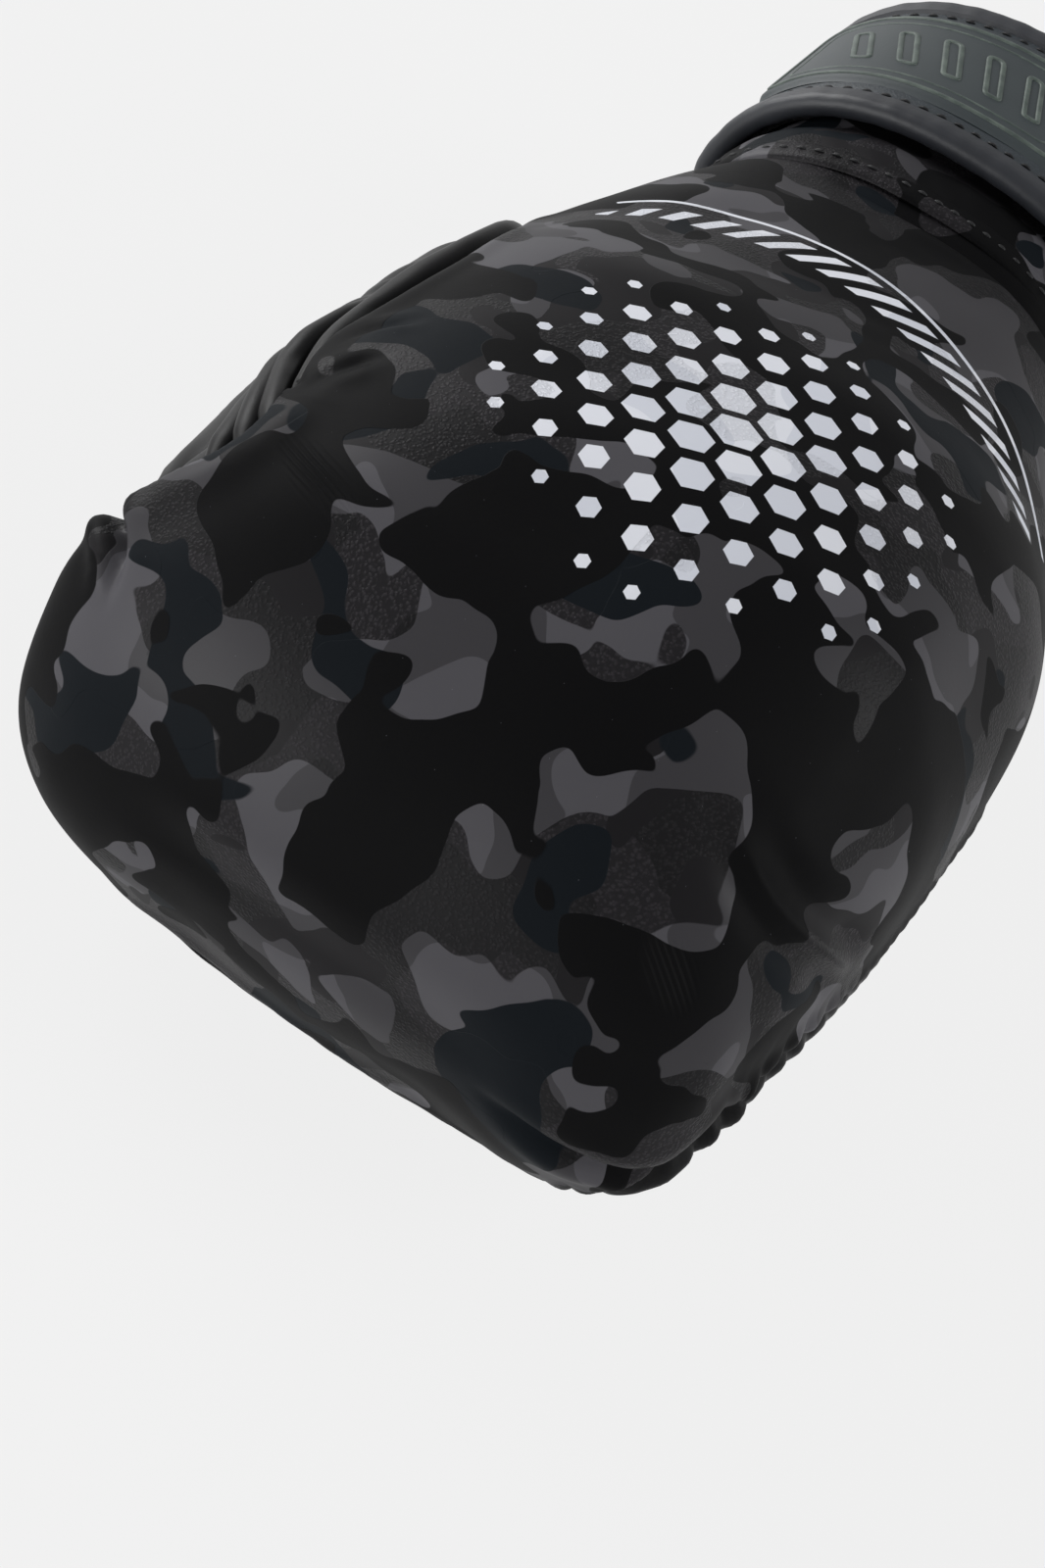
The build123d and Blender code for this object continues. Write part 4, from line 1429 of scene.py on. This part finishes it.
def strap_cover():
    """Slate synthetic leather with a very fine grain, and painted shade in the grain's grooves."""
    f = Finish("strap_cover", Specular_IOR_Level=0.4)
    fine = f.noise(3.0, 3.0, 0.6)
    grain = f.cells(1.3, "DISTANCE_TO_EDGE", f.warped(0.7, 1.0)).step(0.02, 0.3)
    patch = f.noise(0.05, 2.0)
    base = patch.mix(tone(46, 51, 55), tone(56, 62, 67))
    # painted shade: darker along the grooves between the grain's cells
    base = ((1 - grain) * 0.3).mix(base, tone(32, 35, 38))
    normal = f.bump(fine * 0.2 + grain * 0.35, 0.15, 0.7)
    return f.put(Base_Color=base, Roughness=0.46 + patch * 0.1, Normal=normal)


def plain_material(name, relief, patch_size, dark, light, rough, depth, **fixed):
    """A plain material that varies slowly between two tones, with a fine relief."""
    f = Finish(name, Specular_IOR_Level=0.4, **fixed)
    fine = f.noise(*relief)
    patch = f.noise(patch_size, 2.0)
    base = patch.mix(tone(*dark), tone(*light))
    return f.put(Base_Color=base, Roughness=rough[0] + patch * rough[1], Normal=f.bump(fine, *depth))


def glossy_binding():
    """Glossy black binding tape, with small stretch wrinkles."""
    return plain_material("glossy_binding", (0.45, 4.0, 0.6, 0.5), 0.08, (15, 15, 17), (24, 24, 26),
                          (0.34, 0.14), (0.2, 0.4), Coat_Weight=0.15, Coat_Roughness=0.3)


def rolled_edge():
    """The strap's rolled edge: its own leather over a cord, smooth with small stretch marks."""
    return plain_material("rolled_edge", (0.45, 4.0, 0.6, 0.4), 0.08, (34, 36, 40), (46, 48, 53),
                          (0.42, 0.12), (0.2, 0.4))


def thread():
    """Twisted black thread."""
    f = Finish("thread", Specular_IOR_Level=0.35)
    twist = f.noise(3.5, 2.0)
    return f.put(Base_Color=twist.mix(tone(12, 12, 13), tone(34, 35, 37)), Roughness=0.5 + twist * 0.2,
                 Normal=f.bump(twist, 0.12, 0.8))


def lining_cloth():
    """Closely knitted lining, with painted shade between its loops."""
    f = Finish("lining_cloth", Specular_IOR_Level=0.2, Sheen_Weight=0.25)
    knit = f.cells(0.9, "F1", randomness=0.35)
    pile = f.noise(1.6, 3.0)
    # painted shade: darker between the knit's loops, where the bump dips
    base = knit.step(0.1, 0.9).mix(tone(44, 45, 48), tone(20, 20, 22))
    normal = f.bump(knit * -0.6 + pile * 0.3, 0.4, 0.8)
    return f.put(Base_Color=base, Roughness=0.85 + pile * 0.1, Normal=normal)


def elastic():
    """Ribbed woven elastic, painted lighter on its ribs and darker in their grooves, as light and shade."""
    f = Finish("elastic", Specular_IOR_Level=0.25)
    x, y, _ = f.axes()
    rib = (x * (2 * math.pi / 1.5)).maths("SINE") * 0.5 + 0.5
    weave = (y * (2 * math.pi / 0.8)).maths("SINE") * 0.5 + 0.5
    # painted light and shade: lighter on the ribs and the weave's rows, darker in the grooves between them
    base = (rib * 0.7 + weave * 0.3).mix(tone(12, 12, 13), tone(38, 38, 40))
    return f.put(Base_Color=base, Roughness=0.75 + 0.1 * weave, Normal=f.bump(rib + 0.3 * weave, 0.35, 0.8))


def hook_and_loop():
    """The fuzzy loops and stiff hooks of the fastener."""
    f = Finish("hook_and_loop", Specular_IOR_Level=0.25, Sheen_Weight=0.2)
    nap = f.noise(1.4, 4.0, 0.75, 0.4)
    curl = f.cells(1.1, "F1")
    base = nap.step(0.3, 0.7).mix(tone(10, 10, 11), tone(46, 46, 48))
    return f.put(Base_Color=base, Roughness=0.8 + 0.15 * nap, Normal=f.bump(nap + curl * 0.6, 0.6, 0.9))


def badge_rubber():
    """Moulded rubber, matt slate."""
    return plain_material("badge_rubber", (1.8, 3.0), 0.07, (44, 50, 53), (54, 61, 63), (0.5, 0.1),
                          (0.06, 0.6))


def frame_rubber():
    """The badge's raised lines, a lighter greenish grey worn at their tops."""
    f = Finish("frame_rubber", Specular_IOR_Level=0.4)
    worn = f.noise(0.25, 4.0, 0.6)
    base = worn.step(0.35, 0.7).mix(tone(58, 68, 64), tone(84, 94, 88))
    return f.put(Base_Color=base, Roughness=0.45 + worn * 0.15, Normal=f.bump(f.noise(1.5, 2.0), 0.05, 0.5))


# ---------------------------------------------------------------- the studio
BACKDROP = (0.879, 0.879, 0.879, 1)
CAMERA_AIM = (-8.47, 99.2, 60.0)
CAMERA_DISTANCE = 550.23
# area lights: name, place, aim, size, watts
LAMPS = (
    ("key", (1.9, -0.7, 1.1), (0, 0, 0.05), (1.6, 1.4), 46),
    ("front", (1.3, 1.9, 0.6), (0, 0.05, 0.05), (1.4, 0.9), 30),
    ("fill", (-1.9, -0.4, 1.4), (0, 0, 0.05), (1.4, 1.4), 34),
)


def make_camera():
    azimuth, elevation, roll = math.radians(194.31), math.radians(42.73), math.radians(23.5)
    back = Vector((math.sin(azimuth) * math.cos(elevation), -math.cos(azimuth) * math.cos(elevation),
                   math.sin(elevation)))
    level = (-back).cross(Vector((0, 0, 1))).normalized()
    up = level.cross(-back)
    right = math.cos(roll) * level + math.sin(roll) * up
    top = -math.sin(roll) * level + math.cos(roll) * up
    bpy.ops.object.camera_add()
    camera = bpy.context.active_object
    camera.name = "studio_camera"
    camera.data.lens = 75.12
    camera.data.sensor_width = 36
    camera.data.clip_start = 0.01
    camera.data.clip_end = 50
    turn = Matrix((right, top, back)).transposed().to_4x4()
    aim = Vector(CAMERA_AIM) * MM
    camera.matrix_world = Matrix.Translation(aim + back * CAMERA_DISTANCE * MM) @ turn
    bpy.context.scene.camera = camera


def soft_light(name, place, aim, size, watts):
    bpy.ops.object.light_add(type="AREA")
    lamp = bpy.context.active_object
    lamp.name = name
    lamp.data.shape = "RECTANGLE"
    lamp.data.size, lamp.data.size_y = size
    lamp.data.energy = watts
    place, aim = Vector(place), Vector(aim)
    turn = (place - aim).to_track_quat("Z", "Y").to_matrix().to_4x4()
    lamp.matrix_world = Matrix.Translation(place) @ turn


def seen_rays(first):
    """1 for the rays that see the backdrop itself, in the picture or mirrored in the object."""
    node = first.add("ShaderNodeLightPath").socket.node
    rays = Shade(first.tree, node.outputs["Is Camera Ray"])
    for name in ("Is Glossy Ray", "Is Transmission Ray"):
        rays = rays.more(Shade(first.tree, node.outputs[name]))
    return rays


def make_floor():
    bpy.ops.mesh.primitive_plane_add(size=6)
    floor = object_from("studio_floor")
    for v in floor.data.vertices:
        v.co.z = -0.0002
    material = bpy.data.materials.new("studio_floor")
    material.use_nodes = True
    tree = material.node_tree
    tree.nodes.clear()
    first = Shade(tree)
    matt = first.add("ShaderNodeBsdfDiffuse", {"Color": (0.9, 0.9, 0.9, 1)})
    white = first.add("ShaderNodeEmission", {"Color": BACKDROP, "Strength": 1.0})
    mixed = first.add("ShaderNodeMixShader", {0: seen_rays(first) * 0.95, 1: matt, 2: white})
    output = tree.nodes.new("ShaderNodeOutputMaterial")
    tree.links.new(mixed.socket, output.inputs[0])
    floor.data.materials.append(material)


def make_world():
    world = bpy.data.worlds.new("studio")
    bpy.context.scene.world = world
    world.use_nodes = True
    tree = world.node_tree
    tree.nodes.clear()
    first = Shade(tree)
    direction = first.add("ShaderNodeTexCoord")
    high = first.add("ShaderNodeSeparateXYZ", {0: direction}, 2)
    backdrop = 1 - high.step(0.15, 0.4)
    light = first.add("ShaderNodeBackground", {"Color": (1, 1, 1, 1), "Strength": 0.22})
    white = first.add("ShaderNodeBackground", {"Color": BACKDROP, "Strength": 1.0})
    mixed = first.add("ShaderNodeMixShader", {0: seen_rays(first) * backdrop, 1: light, 2: white})
    output = tree.nodes.new("ShaderNodeOutputWorld")
    tree.links.new(mixed.socket, output.inputs[0])


def main():
    bpy.context.scene.view_settings.view_transform = "Standard"
    make_camera()
    make_world()
    make_floor()
    for lamp in LAMPS:
        soft_light(*lamp)
    back, *smooth_pieces = hand_pieces()
    smooth_pieces += [*make_thumb(), make_web()]
    cover, cuff_lining, binding = make_cuff()
    welt, welt_stitches = make_welt()
    gusset = make_gusset()
    hand_lining = make_hand_lining()
    lower, upper, lower_roll, upper_roll, lower_stitches, upper_stitches = make_strap()
    badge, raised = make_badge()
    fasteners = [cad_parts[name] for name in ("loop_field", "hook_field")]
    for make_material, pieces in (
            (printed_cover, (back, cover, welt)),
            (smooth_cover, smooth_pieces),
            (strap_cover, (lower, upper)),
            (glossy_binding, (binding,)),
            (rolled_edge, (lower_roll, upper_roll)),
            (thread, (welt_stitches, lower_stitches, upper_stitches)),
            (lining_cloth, (cuff_lining, hand_lining)),
            (elastic, (gusset,)),
            (hook_and_loop, fasteners),
            (badge_rubber, (badge,)),
            (frame_rubber, (raised,))):
        material = make_material()
        for obj in pieces:
            obj.data.materials.clear()
            obj.data.materials.append(material)
    bpy.ops.object.select_all(action="DESELECT")


main()
